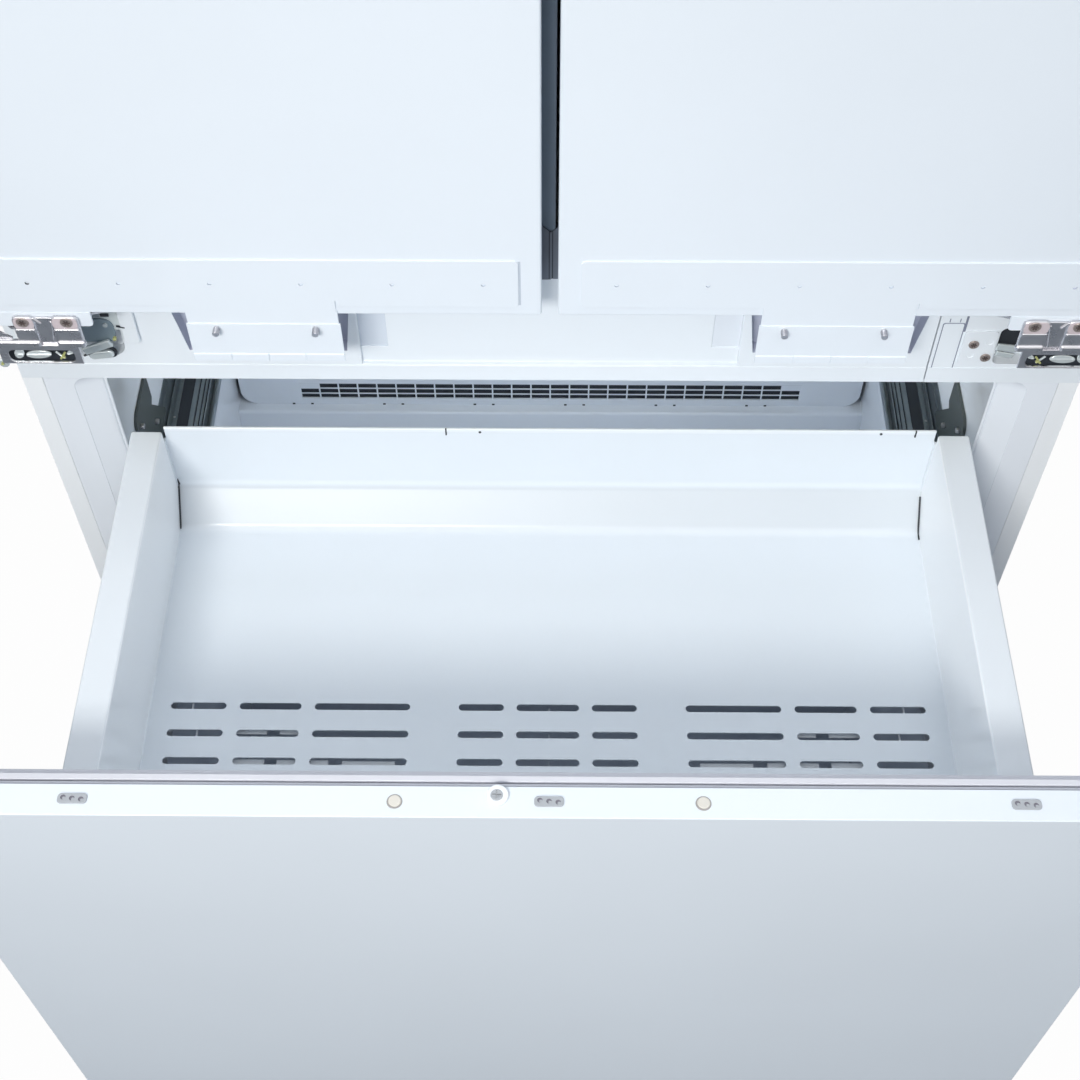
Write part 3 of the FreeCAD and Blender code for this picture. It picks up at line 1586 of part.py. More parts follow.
def rear_rollers():
    """The two rear rollers, which run on the frame's axles."""
    middle = casing_inside - frame_rail_width / 2
    rollers = []
    for side in (-1, 1):
        start = side * middle - roller_width / 2
        height = roller_radius + roller_lift
        wheel = rod("X", start, roller_line, height, roller_radius, roller_width)
        length = roller_width + 2 * overrun
        bore = rod("X", start - overrun, roller_line, height, roller_axle + pin_fit, length)
        rollers.append(cut(wheel, [bore]))
    keep("rear_rollers", group(rollers))


def toe_grille():
    """The slotted plate below the drawer."""
    edge = casing_inside
    depth = (grille_front, grille_front + grille_depth)
    plate = box((-edge, edge), depth, (grille_foot, base_height - casing_sheet))
    tools = []
    first = -(toe_columns - 1) / 2 * grille_slot_pitch
    for row in range(toe_rows):
        low = grille_first_row + row * grille_row_pitch
        for column in range(toe_columns):
            middle = first + column * grille_slot_pitch
            tools.append(
                box(
                    (middle - grille_slot_length / 2, middle + grille_slot_length / 2),
                    (grille_front - overrun, grille_front + grille_depth + overrun),
                    (low, low + grille_slot_height),
                )
            )
    keep("toe_grille", cut(plate, tools))


def finned_coil(half, front, depth, foot, height, pitch, rise, run):
    """A block of upright fins with tubes through them along X."""
    pieces = []
    count = int(2 * half.number / pitch.number)
    for index in range(count + 1):
        x = -half + index * pitch
        pieces.append(box((x, x + fin_sheet), (front, front + depth), (foot, foot + height)))
    rows = int(height.number / rise.number)
    for row in range(rows):
        z = foot + rise / 2 + row * rise
        for y in (front + depth / 2 - run / 2, front + depth / 2 + run / 2):
            pieces.append(rod("X", -half, y, z, coil_tube, 2 * half))
    return pieces


def condenser():
    foot = frame_plate_height + frame_sheet
    pieces = finned_coil(
        condenser_half_width,
        condenser_setback,
        condenser_depth,
        foot,
        condenser_height,
        condenser_fin_pitch,
        coil_rise,
        coil_run,
    )
    keep("condenser", fuse(pieces))


def evaporator():
    """The cooling coil, held to the rear wall by its end plates."""
    pieces = finned_coil(
        evaporator_half_width,
        evaporator_front,
        evaporator_depth,
        evaporator_foot,
        evaporator_height,
        evaporator_fin_pitch,
        evaporator_tube_rise,
        evaporator_tube_run,
    )
    for side in (-1, 1):
        across = (side * evaporator_half_width, side * (evaporator_half_width + 2 * fin_sheet))
        pieces.append(
            box(
                across,
                (evaporator_front, freezer_depth - wall_touch_gap),
                (evaporator_foot, evaporator_foot + evaporator_height),
            )
        )
    keep("evaporator", fuse(pieces))


def fan_wheel(node, x, y, z, hub, hub_length, shaft, reach):
    """A fan: hub and blades, turned by its shaft along Y."""
    body = doc.addObject("PartDesign::Body", node + "_body")
    disc = sketch_on(body, "XZ_Plane", node + "_hub")
    disc.addGeometry(Part.Circle(FreeCAD.Vector(0, 0, 0), FreeCAD.Vector(0, 0, 1), hub.number))
    disc.addConstraint(Sketcher.Constraint("Coincident", 0, 3, -1, 1))
    row = disc.addConstraint(Sketcher.Constraint("Radius", 0, hub.number))
    disc.setExpression("Constraints[%d]" % row, hub.text)
    hub_pad = body.newObject("PartDesign::Pad", node + "_hub_pad")
    hub_pad.Profile = disc
    hub_pad.setExpression("Length", hub_length.text)
    hub_pad.Reversed = True
    blade_sketch = sketch_on(body, "XZ_Plane", node + "_blade")
    outline(
        blade_sketch,
        [
            (hub / 2, -blade_root_half),
            (reach, -blade_tip_half),
            (reach, blade_tip_half),
            (hub / 2, blade_root_half),
        ],
    )
    blade_pad = body.newObject("PartDesign::Pad", node + "_blade_pad")
    blade_pad.Profile = blade_sketch
    blade_pad.setExpression("Length", (hub_length / 2 + blade_sheet / 2).text)
    blade_pad.Reversed = True
    trim = sketch_on(body, "XZ_Plane", node + "_trim")
    outline(
        trim,
        [
            (hub, -blade_tip_half - blade_sheet),
            (reach + blade_sheet, -blade_tip_half - blade_sheet),
            (reach + blade_sheet, blade_tip_half + blade_sheet),
            (hub, blade_tip_half + blade_sheet),
        ],
    )
    trim_pocket = body.newObject("PartDesign::Pocket", node + "_trim_pocket")
    trim_pocket.Profile = trim
    trim_pocket.setExpression("Length", (hub_length / 2 - blade_sheet / 2).text)
    trim_pocket.Reversed = False
    pattern = body.newObject("PartDesign::PolarPattern", node + "_blades")
    pattern.Originals = [blade_pad, trim_pocket]
    pattern.Axis = (plane_of(body, "Y_Axis"), [""])
    pattern.Angle = 360
    pattern.Occurrences = blades
    body.Tip = pattern
    place(body, x, y, z)
    bore = rod("Y", x, y - overrun, z, shaft + pin_fit, hub_length + 2 * overrun)
    keep(node, cut(body, [bore]))


def fan_mount(node, x, z, line, half_x, z_range, hole, wheel, motor, motor_length, bar, back):
    """The plate that a fan blows through, with its motor on a bar behind."""
    hub_length, shaft = wheel
    plate = box((x - half_x, x + half_x), (line, line + fan_plate_sheet), z_range)
    opening = rod("Y", x, line - overrun, z, hole, fan_plate_sheet + 2 * overrun)
    wheel_front = line + fan_plate_sheet + fan_gap
    motor_front = wheel_front + hub_length + fan_gap
    strap_y = (motor_front, motor_front + fan_plate_sheet)
    strap = box((x - half_x, x + half_x), strap_y, (z - bar / 2, z + bar / 2))
    pieces = [
        cut(plate, [opening]),
        strap,
        rod("Y", x, motor_front, z, motor, motor_length),
        rod("Y", x, wheel_front, z, shaft, motor_front - wheel_front),
    ]
    for side in (-1, 1):
        edge = x + side * half_x
        pieces.append(
            box((edge, edge - side * fan_plate_sheet), (line, back), (z - bar / 2, z + bar / 2))
        )
    keep(node, fuse(pieces))


def fans():
    foot = frame_plate_height + frame_sheet
    line = fan_plate_line
    fan_mount(
        "condenser_fan_mount",
        as_size(0),
        fan_height,
        line,
        fan_plate_half,
        (foot, base_height - casing_sheet),
        fan_hole,
        (fan_hub_length, fan_shaft),
        fan_motor,
        fan_motor_length,
        fan_bar,
        line + 2 * fan_plate_sheet + 2 * fan_gap + fan_hub_length,
    )
    fan_wheel(
        "condenser_fan",
        as_size(0),
        line + fan_plate_sheet + fan_gap,
        fan_height,
        fan_hub,
        fan_hub_length,
        fan_shaft,
        fan_blade,
    )
    line = blower_line
    fan_mount(
        "evaporator_fan_mount",
        as_size(0),
        blower_height,
        line,
        blower_plate_half,
        (blower_height - blower_plate_half, blower_height + blower_plate_half),
        blower_hole,
        (blower_hub_length, blower_shaft),
        blower_motor,
        blower_motor_length,
        blower_bar,
        freezer_depth - wall_touch_gap,
    )
    fan_wheel(
        "evaporator_fan",
        as_size(0),
        line + fan_plate_sheet + fan_gap,
        blower_height,
        blower_hub,
        blower_hub_length,
        blower_shaft,
        blower_blade,
    )


def compressor():
    """The sealed compressor: a turned shell on a foot plate."""
    shell = doc.addObject("PartDesign::Body", "compressor_shell")
    sketch = sketch_on(shell, "XZ_Plane", "compressor_outline")
    shoulder = compressor_shoulder
    top = compressor_height
    outline(
        sketch,
        [
            (as_size(0), as_size(0)),
            (compressor_radius - shoulder, as_size(0)),
            (compressor_radius, shoulder),
            (compressor_radius, top - shoulder),
            (compressor_radius - shoulder, top),
            (as_size(0), top),
        ],
    )
    turn = shell.newObject("PartDesign::Revolution", "compressor_turn")
    turn.Profile = sketch
    turn.ReferenceAxis = (sketch, ["V_Axis"])
    turn.Angle = 360
    foot = frame_foot + frame_sheet
    place(shell, compressor_x, compressor_y, foot + compressor_plate_sheet)
    plate = box(
        (compressor_x - compressor_plate_x, compressor_x + compressor_plate_x),
        (compressor_y - compressor_plate_y, compressor_y + compressor_plate_y),
        (foot, foot + compressor_plate_sheet),
    )
    keep("compressor", fuse([shell, plate]))


def machine_space():
    """The drain pan and the control box behind the machine space's front wall."""
    foot = frame_foot + frame_sheet
    pan = open_top_bin((pan_left, pan_right), (pan_front, pan_back), (foot, foot + pan_height), pan_wall)
    keep("drain_pan", pan)
    case = cut(
        box((box_left, box_right), (box_front, box_back), (foot, foot + box_height)),
        [
            box(
                (box_left + box_wall, box_right - box_wall),
                (box_front + box_wall, box_back - box_wall),
                (foot + box_wall, foot + box_height - box_wall),
            )
        ],
    )
    middle = (box_left + box_right) / 2
    inside_x = inlet_half_width - inlet_wall
    inside_z = inlet_half_height - inlet_wall
    inlet = cut(
        box(
            (middle - inlet_half_width, middle + inlet_half_width),
            (box_back, cabinet_depth),
            (inlet_height - inlet_half_height, inlet_height + inlet_half_height),
        ),
        [
            box(
                (middle - inside_x, middle + inside_x),
                (box_back + inlet_wall, cabinet_depth + overrun),
                (inlet_height - inside_z, inlet_height + inside_z),
            )
        ],
    )
    keep("control_box", fuse([case, inlet]))


def evaporator_cover():
    """The panel behind the drawer, with the return grille along its foot."""
    body = doc.addObject("PartDesign::Body", "cover_sheet")
    face = sketch_on(body, "XZ_Plane", "cover_outline")
    top = freezer_ceiling - cover_side_gap
    rectangle(face, (-cover_half_width, cover_half_width), (cover_foot, top))
    pad = body.newObject("PartDesign::Pad", "cover_pad")
    pad.Profile = face
    pad.setExpression("Length", cover_sheet.text)
    pad.Reversed = True
    cells = sketch_on(body, "XZ_Plane", "grille_column")
    first = -(grille_columns - 1) / 2 * grille_cell_pitch
    column = (first - grille_cell_width / 2, first + grille_cell_width / 2)
    for row in range(grille_rows):
        low = grille_cell_foot + row * grille_cell_rise
        rectangle(cells, column, (low, low + grille_cell_height))
    rectangle(cells, column, (outlet_foot, outlet_foot + 2 * grille_cell_height))
    pocket = body.newObject("PartDesign::Pocket", "grille_pocket")
    pocket.Profile = cells
    pocket.setExpression("Length", (2 * cover_sheet).text)
    pocket.Midplane = True
    pattern = body.newObject("PartDesign::LinearPattern", "grille_columns")
    pattern.Originals = [pocket]
    pattern.Direction = (cells, ["H_Axis"])
    pattern.setExpression("Length", ((grille_columns - 1) * grille_cell_pitch).text)
    pattern.Occurrences = grille_columns
    body.Tip = pattern
    place(body, as_size(0), cover_front, as_size(0))
    back = freezer_depth - wall_touch_gap
    returns = [
        box(
            (side * (cover_half_width - cover_sheet), side * cover_half_width),
            (cover_front, back),
            (cover_foot, freezer_ceiling - cover_side_gap),
        )
        for side in (-1, 1)
    ]
    keep("evaporator_cover", fuse([body] + returns))


outer_wrapper()
back_panel()
cabinet_foam()
freezer_liner()
fridge_liner()
cross_rail()
rail_end_cover()
cabinet_screws()
hinge_cups()
mullion_guide()
base_frame()
levelling_feet()
rear_rollers()
toe_grille()
condenser()
evaporator()
fans()
compressor()
machine_space()
evaporator_cover()
glass_shelves()
fridge_fittings()
roof_brackets()
for name, side in (("left", -1), ("right", 1)):
    crisper(name, side)
    door(name, side)
    panel_bracket(name, side)
    hinge_brackets(name, side)
    door_screws(name, side)
    hinge_links(name, side)
mullion_flap()
drawer_front()
tray()
basket()
slides()
drawer_top_pieces()

doc.recompute()

faults = [item.Label for item in doc.Objects if "Invalid" in item.State or "Error" in item.State]
for node, item in parts.items():
    if item.Shape.isNull() or not item.Shape.isValid() or not item.Shape.Solids:
        faults.append(node)
if faults:
    raise SystemExit("These objects did not build: " + ", ".join(sorted(set(faults))))

os.makedirs("parts", exist_ok=True)
for node, item in parts.items():
    item.Shape.exportStep("parts/%s.step" % node)
    print(node, len(item.Shape.Solids), round(item.Shape.Volume))
print(len(parts), "sub-parts")
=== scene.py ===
import math

import bmesh
import bpy
from mathutils import Matrix, Vector


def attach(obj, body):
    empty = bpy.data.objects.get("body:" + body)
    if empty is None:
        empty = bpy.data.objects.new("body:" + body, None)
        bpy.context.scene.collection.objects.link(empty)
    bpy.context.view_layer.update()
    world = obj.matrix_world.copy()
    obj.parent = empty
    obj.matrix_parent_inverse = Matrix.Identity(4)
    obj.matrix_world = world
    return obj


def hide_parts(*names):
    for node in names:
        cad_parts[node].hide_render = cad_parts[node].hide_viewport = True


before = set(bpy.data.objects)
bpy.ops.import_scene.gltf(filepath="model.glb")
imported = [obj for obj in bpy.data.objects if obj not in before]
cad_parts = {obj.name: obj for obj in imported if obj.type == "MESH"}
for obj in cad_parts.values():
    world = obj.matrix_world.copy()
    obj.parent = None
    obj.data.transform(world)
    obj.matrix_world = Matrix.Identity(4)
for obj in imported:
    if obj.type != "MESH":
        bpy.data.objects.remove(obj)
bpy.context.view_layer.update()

# The view: an eye at standing height just ahead of the doors, looking steeply down
# into the pulled-out freezer drawer.
eye = bpy.data.objects.new("eye", bpy.data.cameras.new("eye"))
bpy.context.collection.objects.link(eye)
eye.data.sensor_width = 36
eye.data.lens = 53.9
eye.data.clip_start = 0.05
tilt = Matrix.Rotation(math.radians(90 - 53.93), 4, "X")
heading = Matrix.Rotation(math.radians(0.65), 4, "Z")
roll = Matrix.Rotation(math.radians(-0.21), 4, "Z")
eye.location = (0.0018, -0.9288, 1.739)
eye.rotation_euler = (heading @ tilt @ roll).to_euler()
bpy.context.scene.camera = eye
bpy.context.scene.view_settings.view_transform = "Standard"


def hex_colour(code):
    """An sRGB hex colour as the linear values that a shader takes."""
    parts = [int(code[i : i + 2], 16) / 255 for i in (1, 3, 5)]
    linear = [c / 12.92 if c <= 0.04045 else ((c + 0.055) / 1.055) ** 2.4 for c in parts]
    return (*linear, 1)


def add_node(tree, kind, settings, links=()):
    """Add a node. A setting is the node's own or an input's; a link is (input, node, output)."""
    node = tree.nodes.new(kind)
    for key, value in settings.items():
        if isinstance(key, str) and hasattr(node, key):
            setattr(node, key, value)
        else:
            node.inputs[key].default_value = value
    for socket, source, output in links:
        tree.links.new(source.outputs[output], node.inputs[socket])
    return node


def new_tree(name):
    """An empty node tree of a new material."""
    material = bpy.data.materials.new(name)
    material.use_nodes = True
    material.node_tree.nodes.clear()
    return material, material.node_tree


# The studio: a wide soft lamp overhead and ahead, a cool even sky, and a floor that the
# eye sees as white but that still takes the appliance's shadow.
sky = bpy.data.worlds.new("studio_sky")
sky.use_nodes = True
sky.node_tree.nodes.clear()
# Direct, see-through and mirrored rays meet plain white; the dome lights all the rest.
ray = add_node(sky.node_tree, "ShaderNodeLightPath", {})
straight = add_node(
    sky.node_tree,
    "ShaderNodeMath",
    {"operation": "MAXIMUM"},
    [(0, ray, "Is Camera Ray"), (1, ray, "Is Transmission Ray")],
)
seen = add_node(
    sky.node_tree,
    "ShaderNodeMath",
    {"operation": "MAXIMUM"},
    [(0, straight, "Value"), (1, ray, "Is Glossy Ray")],
)
dome = add_node(
    sky.node_tree, "ShaderNodeBackground", {"Color": hex_colour("#EFF5FD"), "Strength": 0.54}
)
blank = add_node(sky.node_tree, "ShaderNodeBackground", {"Color": (1, 1, 1, 1), "Strength": 1})
both = add_node(
    sky.node_tree,
    "ShaderNodeMixShader",
    {},
    [(0, seen, "Value"), (1, dome, "Background"), (2, blank, "Background")],
)
add_node(sky.node_tree, "ShaderNodeOutputWorld", {}, [("Surface", both, "Shader")])
bpy.context.scene.world = sky


def lamp(name, place, aim, width, height, watts, spread=180, tint="#FFFFFF"):
    """A soft rectangular lamp that points at a spot, and its beam's spread in degrees."""
    light = bpy.data.lights.new(name, "AREA")
    light.shape = "RECTANGLE"
    light.size = width
    light.size_y = height
    light.energy = watts
    light.spread = math.radians(spread)
    light.color = hex_colour(tint)[:3]
    holder = bpy.data.objects.new(name, light)
    bpy.context.collection.objects.link(holder)
    holder.location = place
    holder.rotation_euler = (Vector(aim) - Vector(place)).to_track_quat("-Z", "Y").to_euler()
    holder.visible_camera = False


lamp("overhead", (0, -1.05, 2.9), (0, -0.25, 0.6), 2.6, 1.6, 10.1)
lamp("front_high", (-0.8, -2.6, 2.7), (-0.03, -0.1, 0.85), 1.1, 0.6, 12.9, 75, "#FFFDF7")
lamp("cavity_fill", (0, 0.1, 0.68), (0, 0.35, 0.3), 0.6, 0.1, 1.35, 180, "#EAF4FF")
lamp("compartment_fill", (0, 0.25, 1.9), (0, 0.2, 1.0), 0.5, 0.3, 0.4)
lamp("basket_fill", (0, -0.16, 0.49), (0, -0.2, 0.2), 0.6, 0.2, 0.06, 180, "#DDEBFF")

bpy.ops.object.select_all(action="DESELECT")
bpy.ops.mesh.primitive_plane_add(size=16, location=(0, 0, -0.0005))
floor = bpy.context.object
floor.name = "studio_floor"
chalk, tree = new_tree("chalk_white_floor")
ray = add_node(tree, "ShaderNodeLightPath", {})
matt = add_node(tree, "ShaderNodeBsdfDiffuse", {"Color": hex_colour("#949AA0")})
glow = add_node(tree, "ShaderNodeEmission", {"Color": (1, 1, 1, 1), "Strength": 1})
share = add_node(
    tree, "ShaderNodeMath", {"operation": "MULTIPLY", 1: 0.98}, [(0, ray, "Is Camera Ray")]
)
mixed = add_node(
    tree, "ShaderNodeMixShader", {}, [(0, share, "Value"), (1, matt, "BSDF"), (2, glow, "Emission")]
)
add_node(tree, "ShaderNodeOutputMaterial", {}, [("Surface", mixed, "Shader")])
floor.data.materials.append(chalk)


# The casing is folded sheet, sprayed white and baked. It is a smooth satin skin with the
# faint orange peel of sprayed enamel.
def satin_enamel(name, colour, rough, fold=None):
    """Baked enamel: fine peel, a slow drift of tone, and painted shade in a band round the fold's
    height.
    """
    material, tree = new_tree(name)
    place = add_node(tree, "ShaderNodeTexCoord", {})
    peel = add_node(
        tree, "ShaderNodeTexNoise", {"Scale": 330, "Detail": 2}, [("Vector", place, "Object")]
    )
    drift = add_node(
        tree, "ShaderNodeTexNoise", {"Scale": 3.5, "Detail": 2}, [("Vector", place, "Object")]
    )
    tone = add_node(
        tree,
        "ShaderNodeMapRange",
        {"From Min": 0.3, "From Max": 0.7, "To Min": 0.975, "To Max": 1.0},
        [("Value", drift, 0)],
    )
    # Painted shade: the tone is darker within a band of heights round the fold.
    if fold:
        height = add_node(tree, "ShaderNodeSeparateXYZ", {}, [("Vector", place, "Object")])
        above = add_node(tree, "ShaderNodeMath", {"operation": "SUBTRACT", 1: fold}, [(0, height, "Z")])
        away = add_node(tree, "ShaderNodeMath", {"operation": "ABSOLUTE"}, [(0, above, 0)])
        reach = {"From Min": 0.0125, "From Max": 0.0182, "To Min": 0.82, "To Max": 1.0}
        painted_fold_shade = add_node(
            tree,
            "ShaderNodeMapRange",
            {"interpolation_type": "SMOOTHSTEP", **reach},
            [("Value", away, 0)],
        )
        tone = add_node(
            tree, "ShaderNodeMath", {"operation": "MULTIPLY"}, [(0, tone, 0), (1, painted_fold_shade, 0)]
        )
    tinted = add_node(
        tree,
        "ShaderNodeMix",
        {"data_type": "RGBA", "blend_type": "MULTIPLY", "Factor": 1.0, 6: hex_colour(colour)},
        [(7, tone, 0)],
    )
    sheen = add_node(
        tree,
        "ShaderNodeMapRange",
        {"To Min": rough - 0.04, "To Max": rough + 0.05},
        [("Value", drift, 0)],
    )
    bump = add_node(
        tree, "ShaderNodeBump", {"Strength": 0.12, "Distance": 0.0002}, [("Height", peel, 0)]
    )
    shader = add_node(
        tree,
        "ShaderNodeBsdfPrincipled",
        {"IOR": 1.5, "Coat Weight": 0.15, "Coat Roughness": 0.12},
        [("Base Color", tinted, 2), ("Roughness", sheen, 0), ("Normal", bump, "Normal")],
    )
    add_node(tree, "ShaderNodeOutputMaterial", {}, [("Surface", shader, "BSDF")])
    return material


def dress(node, material):
    """Give a carried-over CAD node its finish."""
    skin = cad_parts[node]
    if not skin.data.materials:
        skin.data.materials.append(material)
    for slot in range(len(skin.data.materials)):
        skin.data.materials[slot] = material


casing_enamel = satin_enamel("baked_white_enamel_casing", "#F5F8FB", 0.38)
dress("outer_wrapper", casing_enamel)


# Zinc-coated sheet: the back, the base frame and the roof brackets are left unpainted, so
# their crystals show as flat flakes of slightly different grey.
galvanised, tree = new_tree("galvanised_sheet_steel")
place = add_node(tree, "ShaderNodeTexCoord", {})
flake = add_node(tree, "ShaderNodeTexVoronoi", {"Scale": 75}, [("Vector", place, "Object")])
grey = add_node(
    tree, "ShaderNodeMapRange", {"To Min": 0.36, "To Max": 0.52}, [("Value", flake, "Color")]
)
shine = add_node(
    tree, "ShaderNodeMapRange", {"To Min": 0.34, "To Max": 0.5}, [("Value", flake, "Color")]
)
shader = add_node(
    tree,
    "ShaderNodeBsdfPrincipled",
    {"Metallic": 0.9},
    [("Base Color", grey, 0), ("Roughness", shine, 0)],
)
add_node(tree, "ShaderNodeOutputMaterial", {}, [("Surface", shader, "BSDF")])
for node in ("back_panel", "base_frame", "roof_brackets"):
    dress(node, galvanised)


# Black-painted steel: compressor, condenser and toe grille, all matt with a little dust
# in the grain.
black_paint, tree = new_tree("matt_black_stove_paint")
place = add_node(tree, "ShaderNodeTexCoord", {})
grit = add_node(tree, "ShaderNodeTexNoise", {"Scale": 700, "Detail": 3}, [("Vector", place, "Object")])
tone = add_node(
    tree,
    "ShaderNodeMix",
    {"data_type": "RGBA", 6: hex_colour("#17181A"), 7: hex_colour("#2A2C30")},
    [("Factor", grit, 0)],
)
bump = add_node(tree, "ShaderNodeBump", {"Strength": 0.3, "Distance": 0.0003}, [("Height", grit, 0)])
shader = add_node(
    tree,
    "ShaderNodeBsdfPrincipled",
    {"Roughness": 0.55},
    [("Base Color", tone, 2), ("Normal", bump, "Normal")],
)
add_node(tree, "ShaderNodeOutputMaterial", {}, [("Surface", shader, "BSDF")])
for node in ("compressor", "condenser", "toe_grille"):
    dress(node, black_paint)


# Moulded plastic with a fine spark-eroded grain. In dark grey it makes the feet, rollers,
# fans, drain pan and control box.
def moulded_plastic(name, colour, rough, grain):
    """Injection-moulded plastic. The grain is drawn about 0.8 mm across so that it shows."""
    material, tree = new_tree(name)
    place = add_node(tree, "ShaderNodeTexCoord", {})
    spark = add_node(
        tree, "ShaderNodeTexNoise", {"Scale": 1200, "Detail": 2}, [("Vector", place, "Object")]
    )
    flow = add_node(
        tree, "ShaderNodeTexNoise", {"Scale": 6, "Detail": 1}, [("Vector", place, "Object")]
    )
    tone = add_node(
        tree,
        "ShaderNodeMapRange",
        {"From Min": 0.3, "From Max": 0.7, "To Min": 0.96, "To Max": 1.0},
        [("Value", flow, 0)],
    )
    tinted = add_node(
        tree,
        "ShaderNodeMix",
        {"data_type": "RGBA", "blend_type": "MULTIPLY", "Factor": 1.0, 6: hex_colour(colour)},
        [(7, tone, 0)],
    )
    bump = add_node(
        tree, "ShaderNodeBump", {"Strength": grain, "Distance": 0.0002}, [("Height", spark, 0)]
    )
    shader = add_node(
        tree,
        "ShaderNodeBsdfPrincipled",
        {"Roughness": rough, "IOR": 1.5},
        [("Base Color", tinted, 2), ("Normal", bump, "Normal")],
    )
    add_node(tree, "ShaderNodeOutputMaterial", {}, [("Surface", shader, "BSDF")])
    return material


dark_plastic = moulded_plastic("dark_grey_moulded_plastic", "#5C636C", 0.45, 0.3)
for node in (
    "levelling_feet",
    "rear_rollers",
    "condenser_fan_mount",
    "condenser_fan",
    "evaporator_fan_mount",
    "evaporator_fan",
    "drain_pan",
    "control_box",
):
    dress(node, dark_plastic)


# Rigid foam fills the walls, the doors and the drawer front; none of it shows outside.
foam = moulded_plastic("blown_insulating_foam", "#D9CBA0", 0.9, 0.8)
for node in ("cabinet_foam", "left_door_foam", "right_door_foam", "drawer_foam"):
    dress(node, foam)


# Shaping tools. They take millimetres, and Blender gets metres.
def pick(piece):
    """Make a piece the one selected and active object."""
    bpy.ops.object.select_all(action="DESELECT")
    piece.select_set(True)
    bpy.context.view_layer.objects.active = piece


def settle(name):
    """Write the new primitive's place into its mesh and name it."""
    bpy.ops.object.transform_apply(location=True, rotation=True, scale=True)
    piece = bpy.context.object
    piece.name = name
    return piece


def turned_block(name, size, middle, axis, degrees):
    """A cube primitive of a size in millimetres, turned about one axis through its middle."""
    turn = [0, 0, 0]
    turn["XYZ".index(axis)] = math.radians(degrees)
    bpy.ops.object.select_all(action="DESELECT")
    bpy.ops.mesh.primitive_cube_add(
        size=1,
        location=[v / 1000 for v in middle],
        rotation=turn,
        scale=[v / 1000 for v in size],
    )
    return settle(name)


def block(name, low, high):
    """A cube primitive between two corners in millimetres."""
    size = [abs(b - a) for a, b in zip(low, high)]
    return turned_block(name, size, [(a + b) / 2 for a, b in zip(low, high)], "Z", 0)


def choose(piece, kind, rule):
    """Select in edit mode the faces (middle, normal) or edges (middle, direction) that fit."""
    pick(piece)
    bpy.ops.object.mode_set(mode="EDIT")
    bpy.ops.mesh.select_mode(type=kind)
    bpy.ops.mesh.select_all(action="DESELECT")
    mesh = bmesh.from_edit_mesh(piece.data)
    for part in mesh.faces if kind == "FACE" else mesh.edges:
        if kind == "FACE":
            middle, way = part.calc_center_median(), part.normal
        else:
            ends = [v.co for v in part.verts]
            middle, way = (ends[0] + ends[1]) / 2, (ends[1] - ends[0]).normalized()
        if rule(middle * 1000, way):
            part.select_set(True)
    bmesh.update_edit_mesh(piece.data)


def done():
    """Leave edit mode."""
    bpy.ops.object.mode_set(mode="OBJECT")


def along(axis):
    """A rule for edges or faces that run along, or look along, one axis."""
    return lambda middle, way: abs(way["XYZ".index(axis)]) > 0.99


def round_edges(piece, radius, segments, rule):
    choose(piece, "EDGE", rule)
    bpy.ops.mesh.bevel(offset=radius / 1000, segments=segments, affect="EDGES")
    done()


def modify(piece, kind, **settings):
    """Add a modifier and apply it."""
    pick(piece)
    modifier = piece.modifiers.new(kind.lower(), kind)
    for key, value in settings.items():
        setattr(modifier, key, value)
    bpy.ops.object.modifier_apply(modifier=modifier.name)


def join(pieces):
    """Join several pieces into the first."""
    pick(pieces[0])
    for piece in pieces[1:]:
        piece.select_set(True)
    if len(pieces) > 1:
        bpy.ops.object.join()
    return pieces[0]


def paint(piece, material):
    piece.data.materials.clear()
    piece.data.materials.append(material)
    return piece


def smooth(piece, angle=40):
    """Smooth the rounds and keep the flats flat."""
    pick(piece)
    bpy.ops.object.shade_smooth_by_angle(angle=math.radians(angle))
    modify(piece, "WEIGHTED_NORMAL", weight=100, keep_sharp=True)


def cut_away(piece, tools, lining=None):
    """Cut the tools' shapes out of a piece. A lining is the material of the cut faces."""
    for tool in tools:
        if lining:
            paint(tool, lining)
        modify(
            piece,
            "BOOLEAN",
            operation="DIFFERENCE",
            solver="EXACT",
            object=tool,
            material_mode="TRANSFER" if lining else "INDEX",
        )
        bpy.data.objects.remove(tool)
    smooth(piece)


def soften(piece, radius, segments=2, angle=35):
    """Round every sharp edge, then smooth the shading across the round."""
    modify(
        piece,
        "BEVEL",
        width=radius / 1000,
        segments=segments,
        limit_method="ANGLE",
        angle_limit=math.radians(angle),
    )
    smooth(piece)
    return piece


def rod(name, axis, start, radius, length, sides=24):
    """A cylinder primitive from a point in millimetres along +X, +Y or +Z."""
    middle = [v / 1000 for v in start]
    middle["XYZ".index(axis)] += length / 2000
    turn = {"X": (0, math.pi / 2, 0), "Y": (math.pi / 2, 0, 0), "Z": (0, 0, 0)}[axis]
    bpy.ops.object.select_all(action="DESELECT")
    bpy.ops.mesh.primitive_cylinder_add(
        vertices=sides, radius=radius / 1000, depth=length / 1000, location=middle, rotation=turn
    )
    return settle(name)


def mirrored(side, near, far):
    """A span of X on the left (-1) or the right (1), its lower end first."""
    return sorted((side * near, side * far))


def tapered(name, foot_x, top_x, y, z):
    """A block whose width changes from its foot to its top."""
    piece = block(name, (foot_x[0], y[0], z[0]), (foot_x[1], y[1], z[1]))
    for vertex in piece.data.vertices:
        if vertex.co.z * 1000 > z[1] - 0.01:
            right = vertex.co.x * 1000 > sum(foot_x) / 2
            vertex.co.x = top_x[1 if right else 0] / 1000
    return piece


